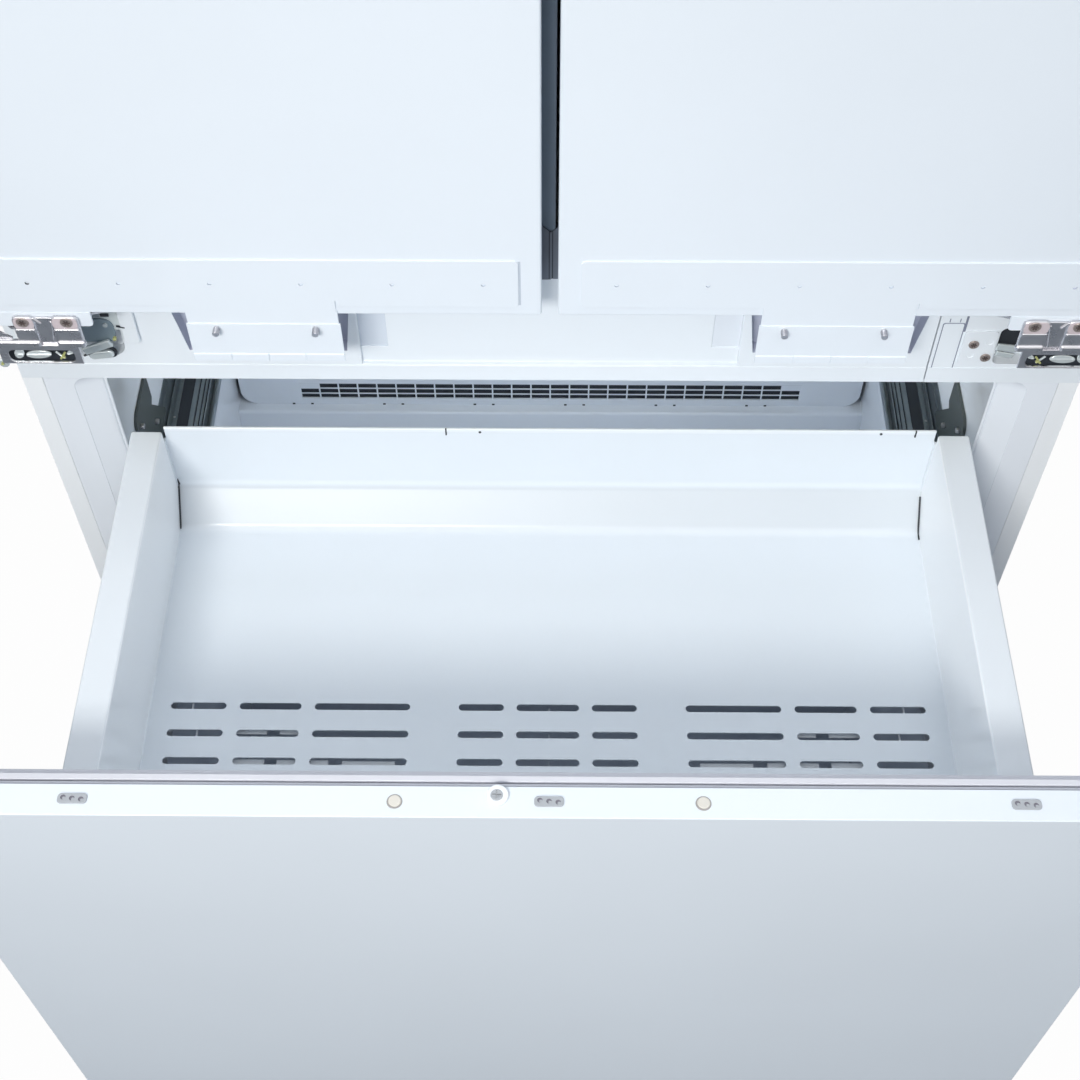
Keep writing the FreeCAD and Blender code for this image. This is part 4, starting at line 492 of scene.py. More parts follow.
def frame_ring(name, outer, inner, y, radius):
    """A flat upright ring between two (x, z low, z high) rectangles, its corners round."""
    ring = block(name, (-outer[0], y[0], outer[1]), (outer[0], y[1], outer[2]))
    round_edges(ring, radius, 5, along("Y"))
    hole = block("hole", (-inner[0], y[0] - 1, inner[1]), (inner[0], y[1] + 1, inner[2]))
    round_edges(hole, radius, 5, along("Y"))
    cut_away(ring, [hole])
    return ring


def fit(piece, body, slot, *nodes):
    """Give a finished piece its body and hide the CAD nodes that it stands for. The slot is not used.
    """
    piece.data.name = piece.name
    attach(piece, body)
    if nodes:
        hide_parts(*nodes)


# The freezer liner is one vacuum-formed sheet of white ABS: a deep box with soft corners,
# a sloped step round its mouth, a flange to the casing, and a hump over the machine space.
liner_abs = moulded_plastic("vacuum_formed_white_abs", "#EBF0F7", 0.17, 0.04)
# Near-black painted shade, put in holes, slits, gaps and hollows where only shadow shows.
near_black_shade = moulded_plastic("painted_near_black_shade", "#262B33", 0.6, 0.1)
dress("fridge_liner", liner_abs)

liner_side, liner_foot, liner_top = 388, 150, 696
mouth_side, mouth_foot, mouth_top = 412, 126, 697.4
step_depth = 9.6

well = block("freezer_liner_shell", (-liner_side, step_depth, liner_foot), (liner_side, 506, liner_top))
choose(well, "FACE", lambda middle, way: way.y < -0.9)
bpy.ops.mesh.delete(type="FACE")
done()
round_edges(well, 13, 5, lambda middle, way: middle.y > 10)
# The mouth slopes out to the flange.
choose(well, "EDGE", lambda middle, way: False)
bpy.ops.mesh.select_non_manifold()
bpy.ops.mesh.extrude_edges_move(TRANSFORM_OT_translate={"value": (0, -0.0091, 0)})
rise = (mouth_top - mouth_foot) / (liner_top - liner_foot)
bpy.ops.transform.resize(
    value=(mouth_side / liner_side, 1, rise),
    center_override=(0, 0, (mouth_foot - liner_foot * rise) / (1 - rise) / 1000),
)
done()
choose(well, "FACE", lambda middle, way: True)
bpy.ops.mesh.normals_make_consistent(inside=True)
done()
round_edges(well, 2.2, 4, lambda middle, way: abs(middle.y - step_depth) < 0.3)
modify(well, "SOLIDIFY", thickness=0.002, offset=-1)
smooth(well, 50)
flange = frame_ring("flange", (436.7, 109.3, 698), (411.5, 126.5, 697.2), (0, 1.6), 13)
corners = [
    block("corner", (side * 420, 0.1, z), (side * 436.6, 1.5, z + 14))
    for side in (-1, 1)
    for z in (109.4, 683.9)
]
bead = frame_ring("bead", (388.2, 149.8, 696.2), (385.6, 152.4, 693.4), (9.8, 13.9), 12)
soften(bead, 1.1, 4)
hump = block("hump", (-389, 383.4, 148), (389, 507, 205.4))
round_edges(hump, 4, 4, lambda middle, way: abs(way.x) > 0.9 and middle.y < 385 and middle.z > 200)
smooth(hump)
liner = join([well, flange, bead, hump] + corners)
paint(liner, liner_abs)
fit(liner, "cabinet", "liner_plastic", "freezer_liner")


# The panel at the back of the freezer hides the cooling coil. Air goes back to the coil
# through the long grille at its foot and blows out of the slots under the ceiling.
cover = block("evaporator_cover_panel", (-384, 397, 204.5), (384, 400, 689.5))
round_edges(cover, 22, 8, lambda middle, way: abs(way.y) > 0.99 and middle.z < 300)
outlets = [block("outlet", (x - 30, 390, 640), (x + 30, 405, 652)) for x in range(-315, 316, 70)]
grille_side, grille_foot = 309, 215.5
window = block("window", (-grille_side, 390, grille_foot), (grille_side, 405, 243.5))
cut_away(cover, [window, join(outlets)])
soften(cover, 0.7, 2)
paint(cover, liner_abs)
bars = []
for i in range(27):
    x = -grille_side + 23.77 * i
    bars.append(block("bar", (x - 0.9, 397.2, 215), (x + 0.9, 398.4, 244)))
for i in range(4):
    z = grille_foot + 9.33 * i
    bars.append(block("bar", (-grille_side, 397.5, z - 0.8), (grille_side, 398.3, z + 0.8)))
bars += [block("blind", (x, 397.4, 234.4), (x + 23.8, 398.6, 243.6)) for x in (-309.4, 285.6)]
bars += [block("return", (side * 382.8, 400, 239), (side * 384, 505, 689.5)) for side in (-1, 1)]
grille = paint(join(bars), liner_abs)
# Painted shade in near-black: a rim behind the panel that shows as a dark outline round its lower
# corners, a plate behind the grille, and small marks at the clips along its foot.
rim = block("rim", (-385.6, 400.2, 204.4), (385.6, 401.2, 480))
round_edges(rim, 23, 8, lambda middle, way: abs(way.y) > 0.99 and middle.z < 300)
dark = [rim, block("grille_shade_backing", (-312, 403, 210), (312, 404, 250))]
dark += [
    block("clip", (x - 1.6, 396.2, 205), (x + 1.6, 398, 207.2))
    for x in (-320, -297, -207, -184, -94, -71, 19, 42, 132, 155, 245, 268)
]
cover = join([cover, grille, paint(join(dark), near_black_shade)])
fit(cover, "cabinet", "liner_plastic", "evaporator_cover")

coil_metal, tree = new_tree("bare_rolled_aluminium")
place = add_node(tree, "ShaderNodeTexCoord", {})
streak = add_node(
    tree, "ShaderNodeTexNoise", {"Scale": 120, "Detail": 4}, [("Vector", place, "Object")]
)
shine = add_node(tree, "ShaderNodeMapRange", {"To Min": 0.3, "To Max": 0.48}, [("Value", streak, 0)])
shader = add_node(
    tree,
    "ShaderNodeBsdfPrincipled",
    {"Base Color": hex_colour("#C9CDD2"), "Metallic": 1},
    [("Roughness", shine, 0)],
)
add_node(tree, "ShaderNodeOutputMaterial", {}, [("Surface", shader, "BSDF")])
dress("evaporator", coil_metal)


# The cross rail is a white painted pressing between the two openings. Behind each door's tongue it is
# sunk into a tapered pocket, lined with a grey-blue painted shade. Its middle zone lies a little back,
# with a shallow well at each end whose cut faces carry a darker enamel as painted shade, and on the
# left it is open round the hinge.
rail_enamel = satin_enamel("baked_white_enamel_rail", "#E9EFF5", 0.36)
# Grey-blue painted shade for the pockets and one screw hole.
pocket_shade = satin_enamel("painted_shade_in_pockets_and_holes", "#B6BBCD", 0.5)
rail_foot, rail_top, recess_top = 698, 852.7, 819
rail = block("cross_rail_pressing", (-453.7, -1, rail_foot), (319.5, 38, rail_top))
paint(rail, rail_enamel)
face = block("face", (-460, -4, 716), (321, -0.2, 826))
cut_away(rail, [face, block("middle", (-159, -4, 717), (159, 3.6, recess_top))])
pockets = []
for side in (-1, 1):
    foot, head = mirrored(side, 170.5, 303), mirrored(side, 160.5, 317)
    pockets.append(tapered("pocket", foot, head, (-6, 13), (733, recess_top)))
nest = block("nest", (-446, -6, 725), (-357, 12, 781))
round_edges(nest, 14, 6, lambda middle, way: abs(way.y) > 0.99 and middle.z < 740)
round_edges(nest, 5, 4, lambda middle, way: abs(way.y) > 0.99 and middle.z > 780)
# Painted shade: the wells' cut faces get a darker enamel, the left well darker than the right.
for side, name, tone in ((-1, "left", "#D6DEE9"), (1, "right", "#E3E9F1")):
    well = block("well", (side * 136, -6, 735), (side * 159, 4.8, recess_top))
    cut_away(rail, [well], satin_enamel("painted_well_shade_" + name + "_rail_well", tone, 0.45))
cut_away(rail, pockets, pocket_shade)
cut_away(rail, [nest], rail_enamel)
soften(rail, 1.2, 3)
pad = block("pad", (-355, -4, 744), (-341.5, -0.5, 783))
round_edges(pad, 4, 4, along("Y"))
paint(soften(pad, 1.4, 3), rail_enamel)
fit(join([rail, pad]), "cabinet", "rail_paint", "cross_rail")

# The right end of the rail is a cover of its own, with a flap and a plate held by two screws.
end = block("rail_end_cover_shell", (320.6, -1, rail_foot), (453.7, 38, rail_top))
paint(end, rail_enamel)
cut_away(end, [block("face", (320, -4, 716), (456, -0.2, 826))])
# The upper part of the opening is lined with near-black painted shade, the lower part with the rail's
# enamel.
for foot, head, lining in ((728, 764, near_black_shade), (720.5, 728.5, rail_enamel)):
    nest = block("nest", (373, -6, foot), (446, 12, head))
    round_edges(nest, 6, 4, lambda middle, way: abs(way.y) > 0.99 and abs(middle.z - 728) > 2)
    cut_away(end, [nest], lining)
soften(end, 1, 3)
flap = frame_ring("flap_seam", (9.2, 708, 770), (8.4, 708.8, 769.2), (-0.35, 0), 2)
choose(flap, "FACE", lambda middle, way: True)
bpy.ops.transform.translate(value=(0.3325, 0, 0))
done()
lines = [flap, block("slot", (341.4, -0.5, 760), (343.2, 0, 778))]
lines += [block("notch", (x, -0.5, 771), (x + 0.7, 0, 775)) for x in (328, 336.5)]
paint(join(lines), moulded_plastic("seam_shadow", "#7F8598", 0.6, 0.1))
plate = block("screw_plate", (343.6, -2, 721), (371.4, -0.1, 761.5))
round_edges(plate, 4, 4, along("Y"))
paint(plate, rail_enamel)
cut_away(plate, [rod("dimple", "Y", (x, -4, z), 3, 2.5) for x, z in ((366, 749), (352.5, 733))])
soften(plate, 0.6, 2)
fit(join([end, lines[0], plate]), "cabinet", "rail_paint", "rail_end_cover")


# Screws: brown passivated pan heads with a six-lobed recess lined with dark brown painted shade. Hinges
# and slides are plated too.
def plated_steel(name, colours, noise, metallic, rough):
    """Plated steel that drifts between two colours and two roughnesses with a fine haze."""
    material, tree = new_tree(name)
    place = add_node(tree, "ShaderNodeTexCoord", {})
    scale, detail = noise
    haze = add_node(
        tree, "ShaderNodeTexNoise", {"Scale": scale, "Detail": detail}, [("Vector", place, "Object")]
    )
    tone = add_node(
        tree,
        "ShaderNodeMix",
        {"data_type": "RGBA", 6: hex_colour(colours[0]), 7: hex_colour(colours[1])},
        [("Factor", haze, 0)],
    )
    shine = add_node(
        tree, "ShaderNodeMapRange", {"To Min": rough[0], "To Max": rough[1]}, [("Value", haze, 0)]
    )
    shader = add_node(
        tree,
        "ShaderNodeBsdfPrincipled",
        {"Metallic": metallic},
        [("Base Color", tone, 2), ("Roughness", shine, 0)],
    )
    add_node(tree, "ShaderNodeOutputMaterial", {}, [("Surface", shader, "BSDF")])
    return material


brown_zinc = plated_steel("brown_passivated_zinc", ("#8D7F7A", "#C2B6B1"), (400, 3), 0.7, (0.34, 0.34))
# Dark brown painted shade for the screws' recesses.
recess_shade = moulded_plastic("painted_shade_in_screw_recess", "#4F4442", 0.4, 0.1)


def star_screw(middle, radius, height):
    """A pan head that faces the front, with a six-lobed recess. The middle is at its seat."""
    x, y, z = middle
    head = paint(rod("screw", "Y", (x, y - height, z), radius, height, 32), brown_zinc)
    soften(head, 0.6, 3)
    lobes = [
        turned_block("lobe", (radius * 1.15, 2, radius * 0.3), (x, y - height, z), "Y", degrees)
        for degrees in (0, 60, 120)
    ]
    cut_away(head, lobes, recess_shade)
    return head


screws = [star_screw((352.8, -2, 746.6), 4.4, 1.5), star_screw((365.6, -2, 730.8), 4.4, 1.5)]
screws[0].name = "rail_cover_screws"
fit(join(screws), "cabinet", "screw_steel", "cabinet_screws")


# The dark post that closes the gap between the doors folds on the left door; its foot runs
# in a guide on the rail, two plates that meet in a V above a fine seam.
post_plastic = moulded_plastic("slate_grey_moulded_post", "#8292A4", 0.42, 0.2)
guide_plastic = moulded_plastic("slate_grey_moulded_guide", "#737A87", 0.45, 0.2)
post = block("folding_post", (-33, 0, 870), (4.4, 14, 2050))
round_edges(post, 1, 3, along("Z"))
lug = rod("lug", "Z", (-35, 7, 870), 5, 1180, 20)
paint(join([post, lug]), post_plastic)
smooth(post)
fit(post, "mullion", "dark_plastic", "mullion_flap")
plate = paint(block("post_guide", (-9.5, -1.8, 819), (9.5, -0.6, 877)), guide_plastic)
vee = turned_block("vee", (13, 6, 13), (0.6, -1, 878.5), "Y", 45)
cut_away(plate, [vee, block("foot", (0.5, -3, 817), (12, 2, 819.8))])
# The two seam lines are cut in and lined with near-black painted shade.
cut_away(plate, [block("seam", (x, -3, 815), (x + 0.7, -1.4, 871)) for x in (-1, 1.6)], near_black_shade)
soften(plate, 0.3, 2)
heel = soften(block("heel", (-9.5, -1, 855.3), (9.5, 12, 868)), 1, 2)
paint(heel, guide_plastic)
fit(join([plate, heel]), "cabinet", "dark_plastic", "mullion_guide")


# Door skins: pressed steel pans, sprayed white. A furniture panel hides them in use.
door_front, door_back, door_foot, door_head = -44, -12, 822, 2095
door_enamel = satin_enamel("sprayed_white_enamel_front", "#E7EEF6", 0.35)


def pressed_pan(name, low, high, sheet, radius):
    """A pan of sheet steel with rounded edges, open at the back."""
    pan = block(name, low, high)
    round_edges(pan, radius, 4, lambda middle, way: middle.y < high[1] - 0.01)
    choose(pan, "FACE", lambda middle, way: way.y > 0.99 and middle.y > high[1] - 0.01)
    bpy.ops.mesh.delete(type="FACE")
    done()
    modify(pan, "SOLIDIFY", thickness=sheet / 1000, offset=-1)
    smooth(pan)
    return paint(pan, door_enamel)


for name, side in (("left", -1), ("right", 1)):
    x = mirrored(side, 6.3, 452)
    low, high = (x[0], door_front, door_foot), (x[1], door_back, door_head)
    skin = pressed_pan(name + "_door_pan", low, high, 1, 2)
    fit(skin, name + "_door", "front_paint", name + "_door_skin")


# Panel strips: one sheet per door, with the row of screw holes and the tongue that hangs
# below the door. The tongue carries a stud plate with a hemmed, notched lip.
strip_front, strip_back = -45.3, -44.05
hole_pitch, hole_height = 69.8, 856
stud_places, stud_height = (184, 262.2), 809
# Pale grey painted shade for the strips' screw holes and the gap beside the left strip's end.
pale_shade = satin_enamel("painted_shade_in_screw_holes_and_gap", "#C6CEDA", 0.5)
for name, side in (("left", -1), ("right", 1)):
    x = mirrored(side, 24, 430)
    strip = block(name + "_panel_strip", (x[0], strip_front, 832), (x[1], strip_back, 881))
    round_edges(strip, 4, 4, along("Y"))
    x = mirrored(side, 165.5, 284.5)
    tongue = block("tongue", (x[0], strip_front, 811.5), (x[1], strip_back, 842))
    modify(strip, "BOOLEAN", operation="UNION", solver="EXACT", object=tongue)
    bpy.data.objects.remove(tongue)
    cut_away(strip, [block("relief", (x[1] - 0.9, -48, 826), (x[1] + 0.9, -43, 838))])
    soften(strip, 0.25, 2)
    paint(strip, door_enamel)
    # The holes are lined with painted shade: the outermost one near-black on the left door and
    # grey-blue on the right, the rest pale grey.
    places = [side * (50.9 + hole_pitch * i) for i in range(6)]
    holes = [rod("hole", "Y", (place, -48, hole_height), 1.7, 6, 20) for place in places]
    cut_away(strip, [holes.pop()], near_black_shade if side < 0 else pocket_shade)
    cut_away(strip, [join(holes)], pale_shade)
    plate = soften(block("stud_plate", (x[0] - 1.2, -46.3, 777), (x[1] + 1.2, -44.7, 813)), 0.25)
    hem = soften(block("hem", (x[0] - 1.2, -47.3, 771.4), (x[1] + 1.2, -44.9, 779.6)), 0.7, 3)
    slits = [
        block("slit", (x[0] + 119 * share - 0.45, -52, 767), (x[0] + 119 * share + 0.45, -46.2, 783))
        for share in (0.25, 0.5, 0.75)
    ]
    cut_away(hem, slits)
    x = mirrored(side, 359.5, 446)
    tab = block("hinge_tab", (x[0], -44.3, 807.6), (x[1], -42.3, 823))
    round_edges(tab, 3.5, 4, lambda middle, way: abs(way.y) > 0.99 and middle.z < 810)
    strip = join([strip, paint(join([plate, hem, soften(tab, 0.4)]), door_enamel)])
    # Painted shadow: a pale grey strip on the door beside the left strip's end, where the strip's edge
    # stands off.
    if side < 0:
        under = block("painted_end_shadow", (-24.3, -44.3, 833.5), (-22.3, -44.02, 879.5))
        strip = join([strip, paint(soften(under, 0.1), pale_shade)])
    fit(strip, name + "_door", "front_paint", name + "_panel_bracket")


# Hinges: pressed nickel-plated steel. Two screwed lugs stand over a bent front plate with a
# slot, through which the bright links show; the knuckles run on turned pins.
bright_nickel = plated_steel(
    "bright_nickel_plated_steel", ("#C2C1C6", "#DADADE"), (90, 4), 1, (0.2, 0.38)
)
rosy_steel = moulded_plastic("rosy_screw_seat", "#CBBFC3", 0.35, 0.1)
# Yellow-green painted glints for a hinge link, two rivets and a knuckle ball.
yellow_glint = moulded_plastic("painted_yellow_glint", "#B4B77C", 0.25, 0.1)
polished_steel = satin_enamel("polished_link_plates", "#DCE4E5", 0.16)
polished_steel.node_tree.nodes["Principled BSDF"].inputs["Metallic"].default_value = 0.5
blue_steel = satin_enamel("blued_hinge_plate", "#8596A0", 0.25)
door_pin, fixed_pin = (425, -34), (345, -13)


def hinge_part(side, label, wide, deep, high, radius):
    """A softened block of one hinge, its width given for the right side."""
    x = mirrored(side, *wide)
    return soften(block(label, (x[0], deep[0], high[0]), (x[1], deep[1], high[1])), radius, 3)


for name, side in (("left", -1), ("right", 1)):
    x = mirrored(side, 375.5, 441)
    front = block(name + "_hinge_bracket", (x[0], -48.4, 768.4), (x[1], -46.4, 789.6))
    x = mirrored(side, 381, 434)
    window = block("window", (x[0], -52, 770), (x[1], -44, 784))
    round_edges(window, 5, 4, along("Y"))
    cut_away(front, [window])
    soften(front, 0.4, 3)
    body = [front, hinge_part(side, "saddle", (386, 411), (-46.4, -44.4), (786, 819), 0.5)]
    seats = []
    for low, high in ((369.5, 391.5), (404, 422)):
        x = mirrored(side, low, high)
        lug = block("lug", (x[0], -48, 790), (x[1], -44.4, 821))
        round_edges(lug, 5, 5, along("Y"))
        body.append(soften(lug, 1.5, 4, 60))
        x = mirrored(side, low + 1, high - 1)
        body.append(soften(block("fold", (x[0], -49.2, 805.4), (x[1], -47.2, 808.6)), 1, 4))
        seat = block("seat", (x[0], -48.5, 808), (x[1], -47.4, 820.4))
        round_edges(seat, 4.5, 4, along("Y"))
        seats.append(paint(soften(seat, 0.4), rosy_steel))
        x = mirrored(side, low - 1, high) if low < 400 else mirrored(side, low, 441)
        body.append(soften(block("shelf", (x[0], -50, 788), (x[1], -44.6, 795)), 2.6, 5))
    body.append(hinge_part(side, "upper", (366, 445), (-42.2, -16), (819, 822), 0.6))
    body.append(hinge_part(side, "top", (366, 445), (-46, -16), (door_head, 2098), 0.6))
    for z, length in ((779, 43), (2098, 20)):
        body.append(rod("pin", "Z", (side * door_pin[0], door_pin[1], z), 3, length))
    arm = turned_block("arm", (24, 2, 13), (side * 440, -45.2, 798), "Y", side * -38)
    ridge = turned_block("ridge", (2.6, 2.6, 25), (side * 393, -46.6, 804), "Y", side * -9)
    crease = turned_block("ridge", (2.4, 2.4, 9), (side * 402.6, -46.6, 816), "Y", side * 40)
    body += [soften(arm, 0.6), soften(ridge, 1.2, 4), soften(crease, 1.1, 4)]
    # A near-black plate behind the slot is painted shade.
    dark = hinge_part(side, "hollow", (380, 440), (-38.6, -37.6), (759.4, 784), 0.2)
    paint(dark, near_black_shade)
    leaves, glint = [], []
    for x, z, wide, tall, turn in (
        (412, 773.4, 21, 9, 4),
        (427.5, 774.6, 8, 12, -20),
        (385, 776.4, 10, 4, 30),
    ):
        bpy.ops.object.select_all(action="DESELECT")
        bpy.ops.mesh.primitive_cylinder_add(
            vertices=40,
            radius=0.0005,
            depth=0.001,
            location=(side * x / 1000, -0.0426, z / 1000),
            rotation=(math.pi / 2, math.radians(side * turn), 0),
            scale=(wide, tall, 1.8),
        )
        leaves.append(soften(settle("leaf"), 0.7, 3, 50))
    link = turned_block("link", (2, 1.6, 10), (side * 394.5, -43, 773), "Y", side * 38)
    leaves.append(soften(link, 0.7, 3))
    leaves.append(soften(rod("knuckle", "Y", (side * 443, -44, 763), 4.6, 3, 28), 1.2, 3))
    # A link and two rivets carry the painted yellow-green glint.
    glint.append(turned_block("link", (1.7, 1.4, 9.5), (side * 392.5, -43.6, 773), "Y", side * -34))
    for x, z in ((391.5, 772.5), (443.5, 764)):
        glint.append(rod("rivet", "Y", (side * x, -45.6, z), 1.3, 1.6, 12))
    glint = paint(soften(join(glint), 0.3), yellow_glint)
    leaves = paint(join(leaves), polished_steel)
    bracket = join([paint(join(body), bright_nickel), dark, glint, leaves] + seats)
    fit(bracket, name + "_door", "hinge_steel", name + "_hinge_brackets")

    reach, drop = door_pin[0] - fixed_pin[0], door_pin[1] - fixed_pin[1]
    angle = math.degrees(math.atan2(drop, reach)) * side
    middle = (side * (fixed_pin[0] + reach / 2), fixed_pin[1] + drop / 2)
    plates = []
    for z in (801.4, 804.6, 2104.5, 2113.5):
        plates.append(turned_block(name + "_hinge_bars", (88, 12, 2.4), (*middle, z), "Z", angle))
        for x, y in (fixed_pin, door_pin):
            plates.append(rod("eye", "Z", (side * x, y, z - 1.2), 7, 2.4, 28))
    for plate in plates:
        soften(plate, 0.5, 2)
    fit(paint(join(plates), bright_nickel), name + "_links", "hinge_steel", name + "_hinge_links")

    studs = []
    for x in stud_places:
        studs.append(rod(name + "_studs", "Y", (side * x, -54, stud_height), 2.2, 7.6))
        for turn in range(5):
            y = -53.7 + 1.3 * turn
            studs.append(rod("thread", "Y", (side * x, y, stud_height), 2.7, 0.7, 20))
    paint(join(studs), bright_nickel)
    smooth(studs[0])
    heads = [star_screw((side * x, -48.4, 816.4), 5, 1.2) for x in (378.6, 413.2)]
    fit(join([studs[0]] + heads), name + "_door", "screw_steel", name + "_door_screws")

# The fixed clevises stand on the rail and under the casing's top. Below each lower one the
# rail is open: a blued plate and a bright cupped shell sit in the left opening, two bright
# facets in the right one.
clevis = []
for side in (-1, 1):
    for low, high, front in ((797.4, 806.6, -19), (2099, 2117, -21)):
        for z in (low, high - 0.5):
            x = mirrored(side, 335, 355)
            arm = block("fixed_clevises", (x[0], front, z), (x[1], -1, z + 2.5))
            round_edges(arm, 6, 5, lambda middle, way: abs(way.z) > 0.99 and middle.y < front + 1)
            clevis.append(soften(arm, 0.5))
        pin = (side * fixed_pin[0], fixed_pin[1], low)
        clevis.append(rod("pin", "Z", pin, 3, high - low + 1.5))
        x = mirrored(side, 335, 336.8)
        clevis.append(soften(block("web", (x[0], front + 5, low), (x[1], -1, high + 1)), 0.4))
fit(paint(join(clevis), bright_nickel), "cabinet", "hinge_steel", "hinge_cups")

# Painted light: the plate's colour is lightened to make up for the door's shadow on it.
lightened_plate = satin_enamel("zinc_hinge_plate_painted_lighter", "#D5DEDF", 0.3)
seat = block("left_hinge_seat", (-391, -4.6, 747), (-360, -2.6, 774))
round_edges(seat, 9, 6, lambda middle, way: abs(way.y) > 0.99 and middle.x > -361)
paint(soften(seat, 0.6), blue_steel)
plate = paint(soften(block("plate", (-369.5, -3, 760), (-353.5, -1.2, 790)), 0.5), lightened_plate)
bar = turned_block("bar", (27, 4, 8), (-377.3, -7, 744), "Y", -23)
bits = [soften(bar, 1.4, 5), soften(rod("rivet", "Y", (-366, -6.2, 768), 2.2, 1.8, 20), 0.5)]
shell = turned_block("shell", (22, 4, 9), (-377.5, -3, 730.6), "Y", -8)
round_edges(shell, 4.4, 8, lambda middle, way: abs(way.y) > 0.9)
bits.append(soften(shell, 1.8, 4, 50))
rim = turned_block("rim", (25, 2, 12), (-377.3, -0.6, 730), "Y", -8)
round_edges(rim, 5.8, 8, lambda middle, way: abs(way.y) > 0.9)
# Painted shade in near-black: the outline round the shell, the gap above it, two lines and the hook.
darks = [rim, turned_block("gap", (27, 1, 1.6), (-379.5, -6, 738.2), "Y", -28)]
darks.append(block("line", (-368, -4, 786.4), (-354, -3, 788)))
darks.append(block("line", (-368.4, -4, 776.5), (-361.5, -3, 779.5)))
darks.append(turned_block("hook", (7, 1, 1.6), (-354.5, -3.6, 764.4), "Y", 14))
# The small knuckle ball carries the painted yellow-green glint.
ball = paint(soften(rod("knuckle", "Y", (-360.5, -9.4, 755), 1.6, 3, 14), 0.4), yellow_glint)
seat = join([seat, plate, paint(join(bits), polished_steel), paint(join(darks), near_black_shade), ball])
fit(seat, "cabinet", "hinge_steel")

upper = turned_block("right_hinge_seat", (18, 2, 7.5), (381.5, -2, 742.6), "Y", 8)
lower = turned_block("facet", (16, 2, 5.6), (381, -2, 734.4), "Y", 14)
seat = join([soften(upper, 0.8, 3), soften(lower, 0.8, 3)])
fit(paint(seat, polished_steel), "cabinet", "hinge_steel")


# Inner door panels, bins and crispers: white and clear mouldings inside the compartment.
clear_plastic, tree = new_tree("clear_polystyrene")
place = add_node(tree, "ShaderNodeTexCoord", {})
swirl = add_node(tree, "ShaderNodeTexNoise", {"Scale": 25, "Detail": 2}, [("Vector", place, "Object")])
bump = add_node(tree, "ShaderNodeBump", {"Strength": 0.08, "Distance": 0.001}, [("Height", swirl, 0)])
shader = add_node(
    tree,
    "ShaderNodeBsdfPrincipled",
    {"Base Color": hex_colour("#EEF4F8"), "Roughness": 0.08, "IOR": 1.58, "Transmission Weight": 0.85},
    [("Normal", bump, "Normal")],
)
add_node(tree, "ShaderNodeOutputMaterial", {}, [("Surface", shader, "BSDF")])
for node in ("left_door_bins", "right_door_bins", "left_crisper", "right_crisper"):
    dress(node, clear_plastic)
for node in ("left_door_liner", "right_door_liner", "drawer_liner", "basket"):
    dress(node, liner_abs)

# Shelves of toughened glass: greenish in the mass, with faint wipe marks.
shelf_glass, tree = new_tree("toughened_shelf_glass")
place = add_node(tree, "ShaderNodeTexCoord", {})
smear = add_node(tree, "ShaderNodeTexNoise", {"Scale": 9, "Detail": 3}, [("Vector", place, "Object")])
haze = add_node(tree, "ShaderNodeMapRange", {"To Min": 0.02, "To Max": 0.09}, [("Value", smear, 0)])
shader = add_node(
    tree,
    "ShaderNodeBsdfPrincipled",
    {"Base Color": hex_colour("#D8EBE4"), "IOR": 1.52, "Transmission Weight": 0.9},
    [("Roughness", haze, 0)],
)
add_node(tree, "ShaderNodeOutputMaterial", {}, [("Surface", shader, "BSDF")])
dress("glass_shelves", shelf_glass)
dress("light_strips", moulded_plastic("opal_light_diffuser", "#F2F5F7", 0.55, 0.15))
touch_panel = moulded_plastic("gloss_black_touch_panel", "#22262C", 0.12, 0.02)
dress("control_panel", touch_panel)


# Seals: extruded soft PVC with a bellows and a magnet strip, pinkish grey. Two grooves show along the
# drawer's top edge, between the skin and the soft bead, in a darker grey that is painted shade.
seal_pvc = moulded_plastic("extruded_soft_pvc", "#D6D7DF", 0.6, 0.1)
# Darker grey painted shade for the seal's grooves and the adapters' cups.
groove_shade = moulded_plastic("painted_shade_in_grooves_and_cups", "#83818C", 0.7, 0.1)
for node in ("left_door_gasket", "right_door_gasket"):
    dress(node, seal_pvc)
rings = []
for y0, y1, inset, finish in (
    (-401, -398, 2.6, groove_shade),
    (-398, -396, 0.8, seal_pvc),
    (-396, -394.9, 2.4, groove_shade),
    (-394.9, -390.1, 0, seal_pvc),
    (-390.1, -382.3, 9, seal_pvc),
):
    ring = frame_ring(
        "drawer_seal", (448 - inset, 114 + inset, 716 - inset), (422, 140, 690), (y0, y1), 6
    )
    rings.append(paint(soften(ring, 0.5, 2), finish))
fit(join(rings), "drawer", "seal", "drawer_gasket")


# The slides: three rolled steel sections a side. The fixed one hangs on a bracket
# plate on the liner's wall; the middle one carries the ribs that show behind the tray.
dark_zinc = plated_steel("greased_zinc_slide_steel", ("#737E86", "#949EA6"), (60, 4), 0.8, (0.36, 0.36))
olive_steel = moulded_plastic("olive_grey_bracket_paint", "#454C4C", 0.5, 0.2)


def rolled(side, label, wide, deep, high, finish=dark_zinc, radius=0.4):
    """One wall of a rolled section, its width given for the right side."""
    x = mirrored(side, *wide)
    piece = block(label, (x[0], deep[0], high[0]), (x[1], deep[1], high[1]))
    return paint(soften(piece, radius), finish)


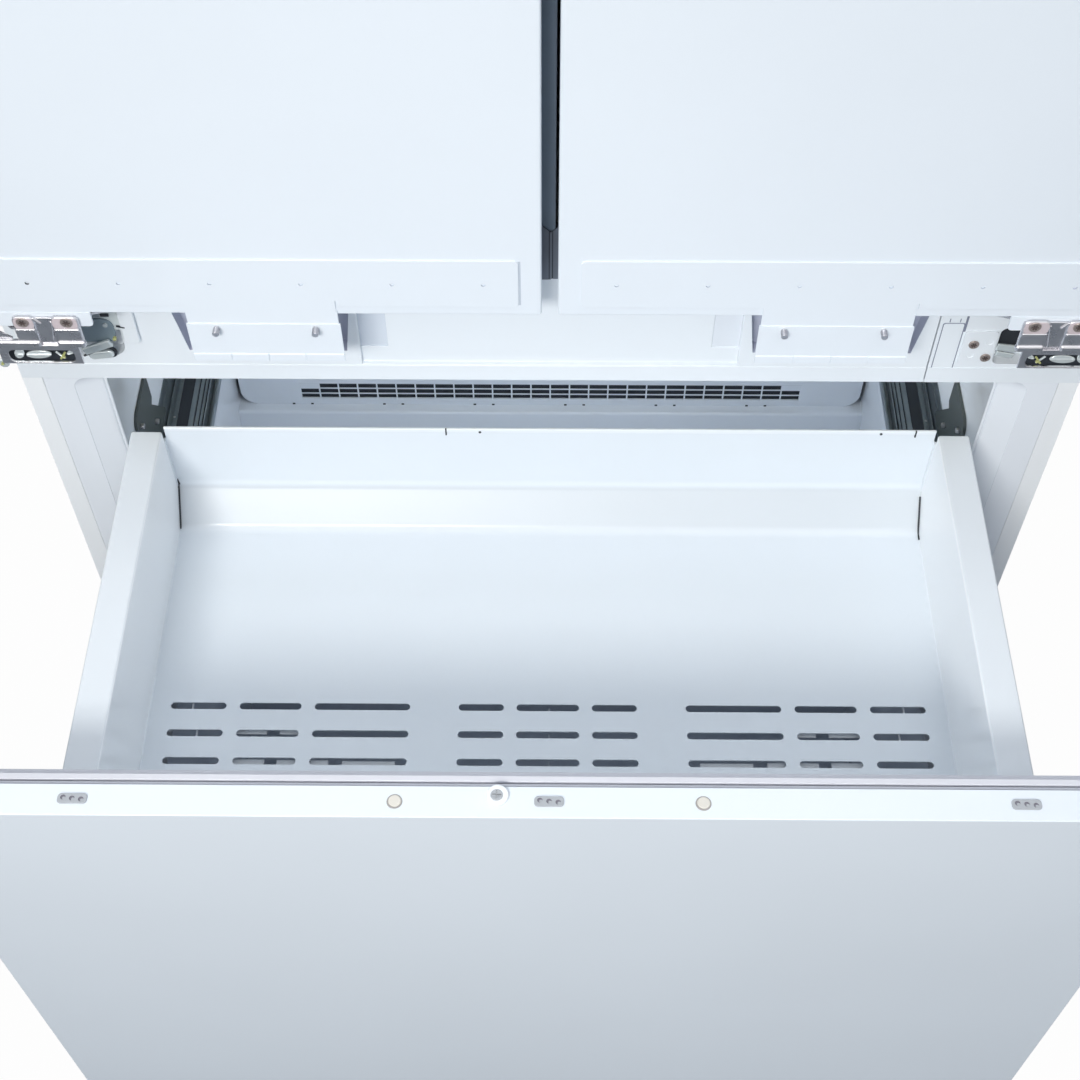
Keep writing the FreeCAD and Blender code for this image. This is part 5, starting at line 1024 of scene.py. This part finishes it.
outer, middle_rails = [], []
fixed_span, middle_span = (14, 386), (-176.5, 195.5)
for side in (-1, 1):
    outer.append(rolled(side, "slide_fixed_sections", (386.2, 387.7), fixed_span, (480, 512)))
    # The web is part of the fixed section, drawn taller than its wall so that its dark zinc stands in
    # for painted shade on the liner wall above the rail.
    outer.append(rolled(side, "web", (386.8, 387.8), (100, 386), (510, 524)))
    outer.append(rolled(side, "floor", (341, 387.7), fixed_span, (480, 481.6)))
    outer.append(rolled(side, "lip", (341, 342.6), fixed_span, (480, 489)))
    plate = block("bracket", (side * 384.9, 42, 505), (side * 387.6, 128, 589))
    round_edges(plate, 13, 6, lambda middle, way: abs(way.x) > 0.99 and middle.y < 60)
    upright = block("corner", (side * 380, 101, 545), (side * 392, 140, 600))
    slant = turned_block("corner", (12, 60, 40), (side * 386, 129.3, 541.3), "X", -52)
    cut_away(plate, [upright, slant])
    outer.append(paint(soften(plate, 0.4, 2, 50), olive_steel))
    for y, z in ((52, 571), (92, 531)):
        start = 381.5 if side > 0 else -384.9
        outer.append(paint(soften(rod("bolt", "X", (start, y, z), 3, 3.4, 6), 0.5), bright_nickel))
    wall = rolled(side, "slide_middle_sections", (383.6, 385.2), middle_span, (482.5, 494))
    # The middle section's floor is near-black painted shade, the dark channel between its walls.
    floor = rolled(side, "floor", (347.5, 385.2), middle_span, (482.5, 483.6), near_black_shade, 0.2)
    middle_rails += [wall, floor, rolled(side, "wall", (347.5, 349), middle_span, (482.5, 494))]
    for wide in ((378.4, 383.4), (361.4, 366.6), (356.4, 360.2), (352.6, 355.4), (349.2, 351.6)):
        middle_rails.append(rolled(side, "rib", wide, middle_span, (483.4, 484.7), radius=0.5))
    rivet = rod("rivet", "Z", (side * 381.4, 137, 484), 1.3, 0.8, 16)
    middle_rails.append(paint(rivet, bright_nickel))
fit(join(outer), "cabinet", "slide_steel", "slide_outer_rails")
fit(join(middle_rails), "slide_middle", "slide_steel", "slide_middle_rails")
dress("slide_inner_rails", dark_zinc)


# The drawer front: a pressed pan like the doors'. On its top edge sit three zinc adapters
# for the furniture panel, two cream plugs and a round bumper under a cross-head screw.
skin = pressed_pan("drawer_pan", (-452, -425, 110), (452, -401, 720), 1, 0.9)
fit(skin, "drawer", "front_paint", "drawer_skin")

plain_zinc = satin_enamel("grey_zinc_die_casting", "#AEB2B8", 0.42)
adapters = []
for x in (-331.6, 1.6, 334):
    adapter = block("panel_adapter_plates", (x - 10.4, -416.4, 719.8), (x + 10.4, -408.6, 721.2))
    round_edges(adapter, 2.6, 4, along("Z"))
    paint(soften(adapter, 0.4), plain_zinc)
    cups = [rod("cup", "Z", (x + dx, -412.5 - dx / 9, 720.4), 1.9, 2, 18) for dx in (-6.4, 0, 6.4)]
    # The cups are lined with the darker grey painted shade.
    cut_away(adapter, cups, groove_shade)
    adapters.append(adapter)
    for dx in (-5.7, 0.7, 7.1):
        pearl = soften(rod("eye", "Z", (x + dx, -413 - dx / 9, 720.2), 1.3, 0.8, 16), 0.4)
        adapters.append(paint(pearl, plain_zinc))
fit(join(adapters), "drawer", "hinge_steel", "panel_adapters")

cream = moulded_plastic("cream_moulded_nylon", "#DEDAD2", 0.35, 0.05)
grey_ring = moulded_plastic("grey_plug_rim", "#A3A09E", 0.5, 0.1)
white_nylon = moulded_plastic("white_moulded_nylon", "#EFF3F8", 0.3, 0.05)
plugs = []
for x in (-106.3, 109.2):
    plugs.append(paint(soften(rod("edge_plugs", "Z", (x, -413, 719.5), 5.6, 0.9, 32), 0.3), grey_ring))
    plugs.append(paint(soften(rod("dome", "Z", (x + 0.2, -412.7, 719.8), 4.5, 1.2, 32), 0.8, 3), cream))
bumper = soften(rod("bumper", "Z", (-34.4, -408.4, 719.8), 7.9, 3.2, 40), 1.1, 4)
plugs.append(paint(bumper, white_nylon))
head = paint(soften(rod("head", "Z", (-35, -409, 722.4), 4.4, 1.3, 28), 0.7, 3), plain_zinc)
long_slot = block("cross", (-38.2, -409.5, 723), (-31.8, -408.5, 726))
short_slot = block("cross", (-35.5, -412.2, 723), (-34.5, -405.8, 726))
# The cross is lined with near-black painted shade.
cut_away(head, [long_slot, short_slot], near_black_shade)
plugs.append(head)
fit(join(plugs), "drawer", "cream_plastic", "top_plugs")


# The tray: white powder-coated sheet. Its floor and leaning back are one fold; the hollow side walls
# are their own profiles, their faces painted lighter and their flat tops a shade greyer as painted
# light and shade, so that fine slits show at the back corners. The bent sheet is painted a shade
# darker, with more painted shade over the leaning back. Three rows of slots let the cold air down to
# the basket.
tray_coat = satin_enamel("white_powder_coat", "#EAF0F6", 0.3)
# Painted shade: the bent sheet's coat is darker, and darker still over the leaning back.
shaded_sheet_coat = satin_enamel("white_powder_coat_bent_sheet_painted_shade", "#E3EAF1", 0.3, fold=0.5414)
tray_front, bend, tray_back = -371.5, -34, -4.9
sheet = block("freezer_tray", (-344.6, tray_front, 523), (344.6, bend, 524.2))
choose(sheet, "FACE", lambda middle, way: way.z < 0.9)
bpy.ops.mesh.delete(type="FACE")
done()
for rear, step in ((bend, (0, 0.0291, 0.0338)), (tray_back, (0, 0, 0.078))):
    choose(sheet, "EDGE", lambda middle, way: abs(middle.y - rear) < 0.1 and abs(way.x) > 0.99)
    bpy.ops.mesh.extrude_edges_move(TRANSFORM_OT_translate={"value": step})
    done()
round_edges(
    sheet, 6, 6, lambda middle, way: abs(way.x) > 0.99 and middle.y > bend - 1 and middle.z < 560
)
modify(sheet, "SOLIDIFY", thickness=0.0012, offset=-1)
spans = [(-27, 27)]
for side in (-1, 1):
    for near, far in ((38, 77), (119, 201.5), (213, 266.5), (278, 326)):
        spans.append(mirrored(side, near, far))
slots = []
for y in (-276.7, -250, -223.3):
    for left, right in spans:
        slot = block("slot", (left, y - 3.4, 515), (right, y + 3.4, 530))
        round_edges(slot, 3.3, 5, along("Z"))
        slots.append(slot)
notches = [block("notch", (side * 343.2, -8, 622), (side * 350, 0, 640)) for side in (-1, 1)]
cut_away(sheet, [join(slots)] + notches)
paint(sheet, shaded_sheet_coat)
# Painted light and shade: a lighter coat for the walls' faces and a greyer one for their flat tops.
lightened_wall_coat = satin_enamel("white_powder_coat_side_walls_painted_lighter", "#F8FBFE", 0.3)
shaded_ledge_coat = satin_enamel("white_powder_coat_wall_tops_painted_darker", "#E2E8EE", 0.3)
front = soften(block("front", (-344.4, -371.8, 523), (344.4, -370.6, 600)), 0.3)
hem = soften(block("hem", (-343.2, -5.8, 633), (343.2, -3.2, 637.6)), 1, 3)
walls = []
for side in (-1, 1):
    x = mirrored(side, 344.2, 371.8)
    wall = block("wall", (x[0], tray_front, 522.9), (x[1], -7.6, 635.5))
    choose(wall, "FACE", lambda middle, way: way.z < -0.9)
    bpy.ops.mesh.delete(type="FACE")
    done()
    round_edges(wall, 2.2, 4, lambda middle, way: middle.z > 600 or abs(way.z) > 0.99)
    modify(wall, "SOLIDIFY", thickness=0.0012, offset=-1)
    smooth(wall)
    paint(wall, lightened_wall_coat)
    wall.data.materials.append(shaded_ledge_coat)
    wall.active_material_index = 1
    choose(wall, "FACE", lambda middle, way: way.z > 0.7 and middle.z > 630)
    bpy.ops.object.material_slot_assign()
    done()
    walls.append(wall)
    x = mirrored(side, 343.2, 346)
    foot = block("foot", (x[0], -371, 523), (x[1], bend, 525))
    x = mirrored(side, 343.9, 348)
    lap = block("lap", (x[0], -8.4, 550), (x[1], -4.3, 622))
    walls += [paint(soften(foot, 0.5), tray_coat), paint(soften(lap, 0.3), tray_coat)]
coated = join([paint(join([front, hem]), tray_coat)] + walls)
# Painted shadow: near-black ticks and dots on the hem, and thin slits in the gaps at the back corners.
slits = [block("tick", (x - 0.6, -6.2, 630), (x + 0.6, -4.6, 637.9)) for x in (-91.9, 325)]
slits += [rod("dot", "Y", (x, -6.3, 634.2), 1.2, 1.4, 16) for x in (-61.7, 294.3)]
slits.append(turned_block("slit", (1.3, 43, 3), (-343.6, -19.6, 541.6), "X", 49.3))
slits.append(turned_block("slit", (1.3, 35, 3), (343.6, -22.9, 537.8), "X", 49.3))
slits.append(block("slit", (343, -42, 523.6), (344.3, -33, 525.6)))
for side, z in ((-1, 561), (1, 552.4)):
    slits.append(turned_block("slit", (1.4, 2.4, 7), (side * 343.7, -5.6, z), "Y", side * 14))
fit(join([sheet, coated, paint(join(slits), near_black_shade)]), "drawer", "tray_paint", "tray")


# The basket's white cross ribs, seen through the slots.
ribs = []
for side in (-1, 1):
    for near, far, front, rear in (
        (241.5, 270, -246.8, -241),
        (214, 230.5, -246.8, -241),
        (241, 270, -279, -271),
        (214, 230.5, -279, -271.6),
        (186.5, 202, -279, -271.6),
        (129.5, 174.8, -279, -272.4),
    ):
        x = mirrored(side, near, far)
        ribs.append(soften(block("basket_ribs", (x[0], front, 515.5), (x[1], rear, 517)), 0.5))
    for x, y in ((side * 308.8, -222), (side * 302, -247)):
        upright = block("upright", (x - 0.8, y - 8, 514.8), (x + 0.8, y + 8, 516.8))
        ribs.append(soften(upright, 0.4))
for y in (-220, -246, -272):
    ribs.append(soften(block("seam", (0.6, y - 6, 506), (1.8, y + 6, 507)), 0.2))
fit(paint(join(ribs), tray_coat), "drawer", "liner_plastic")
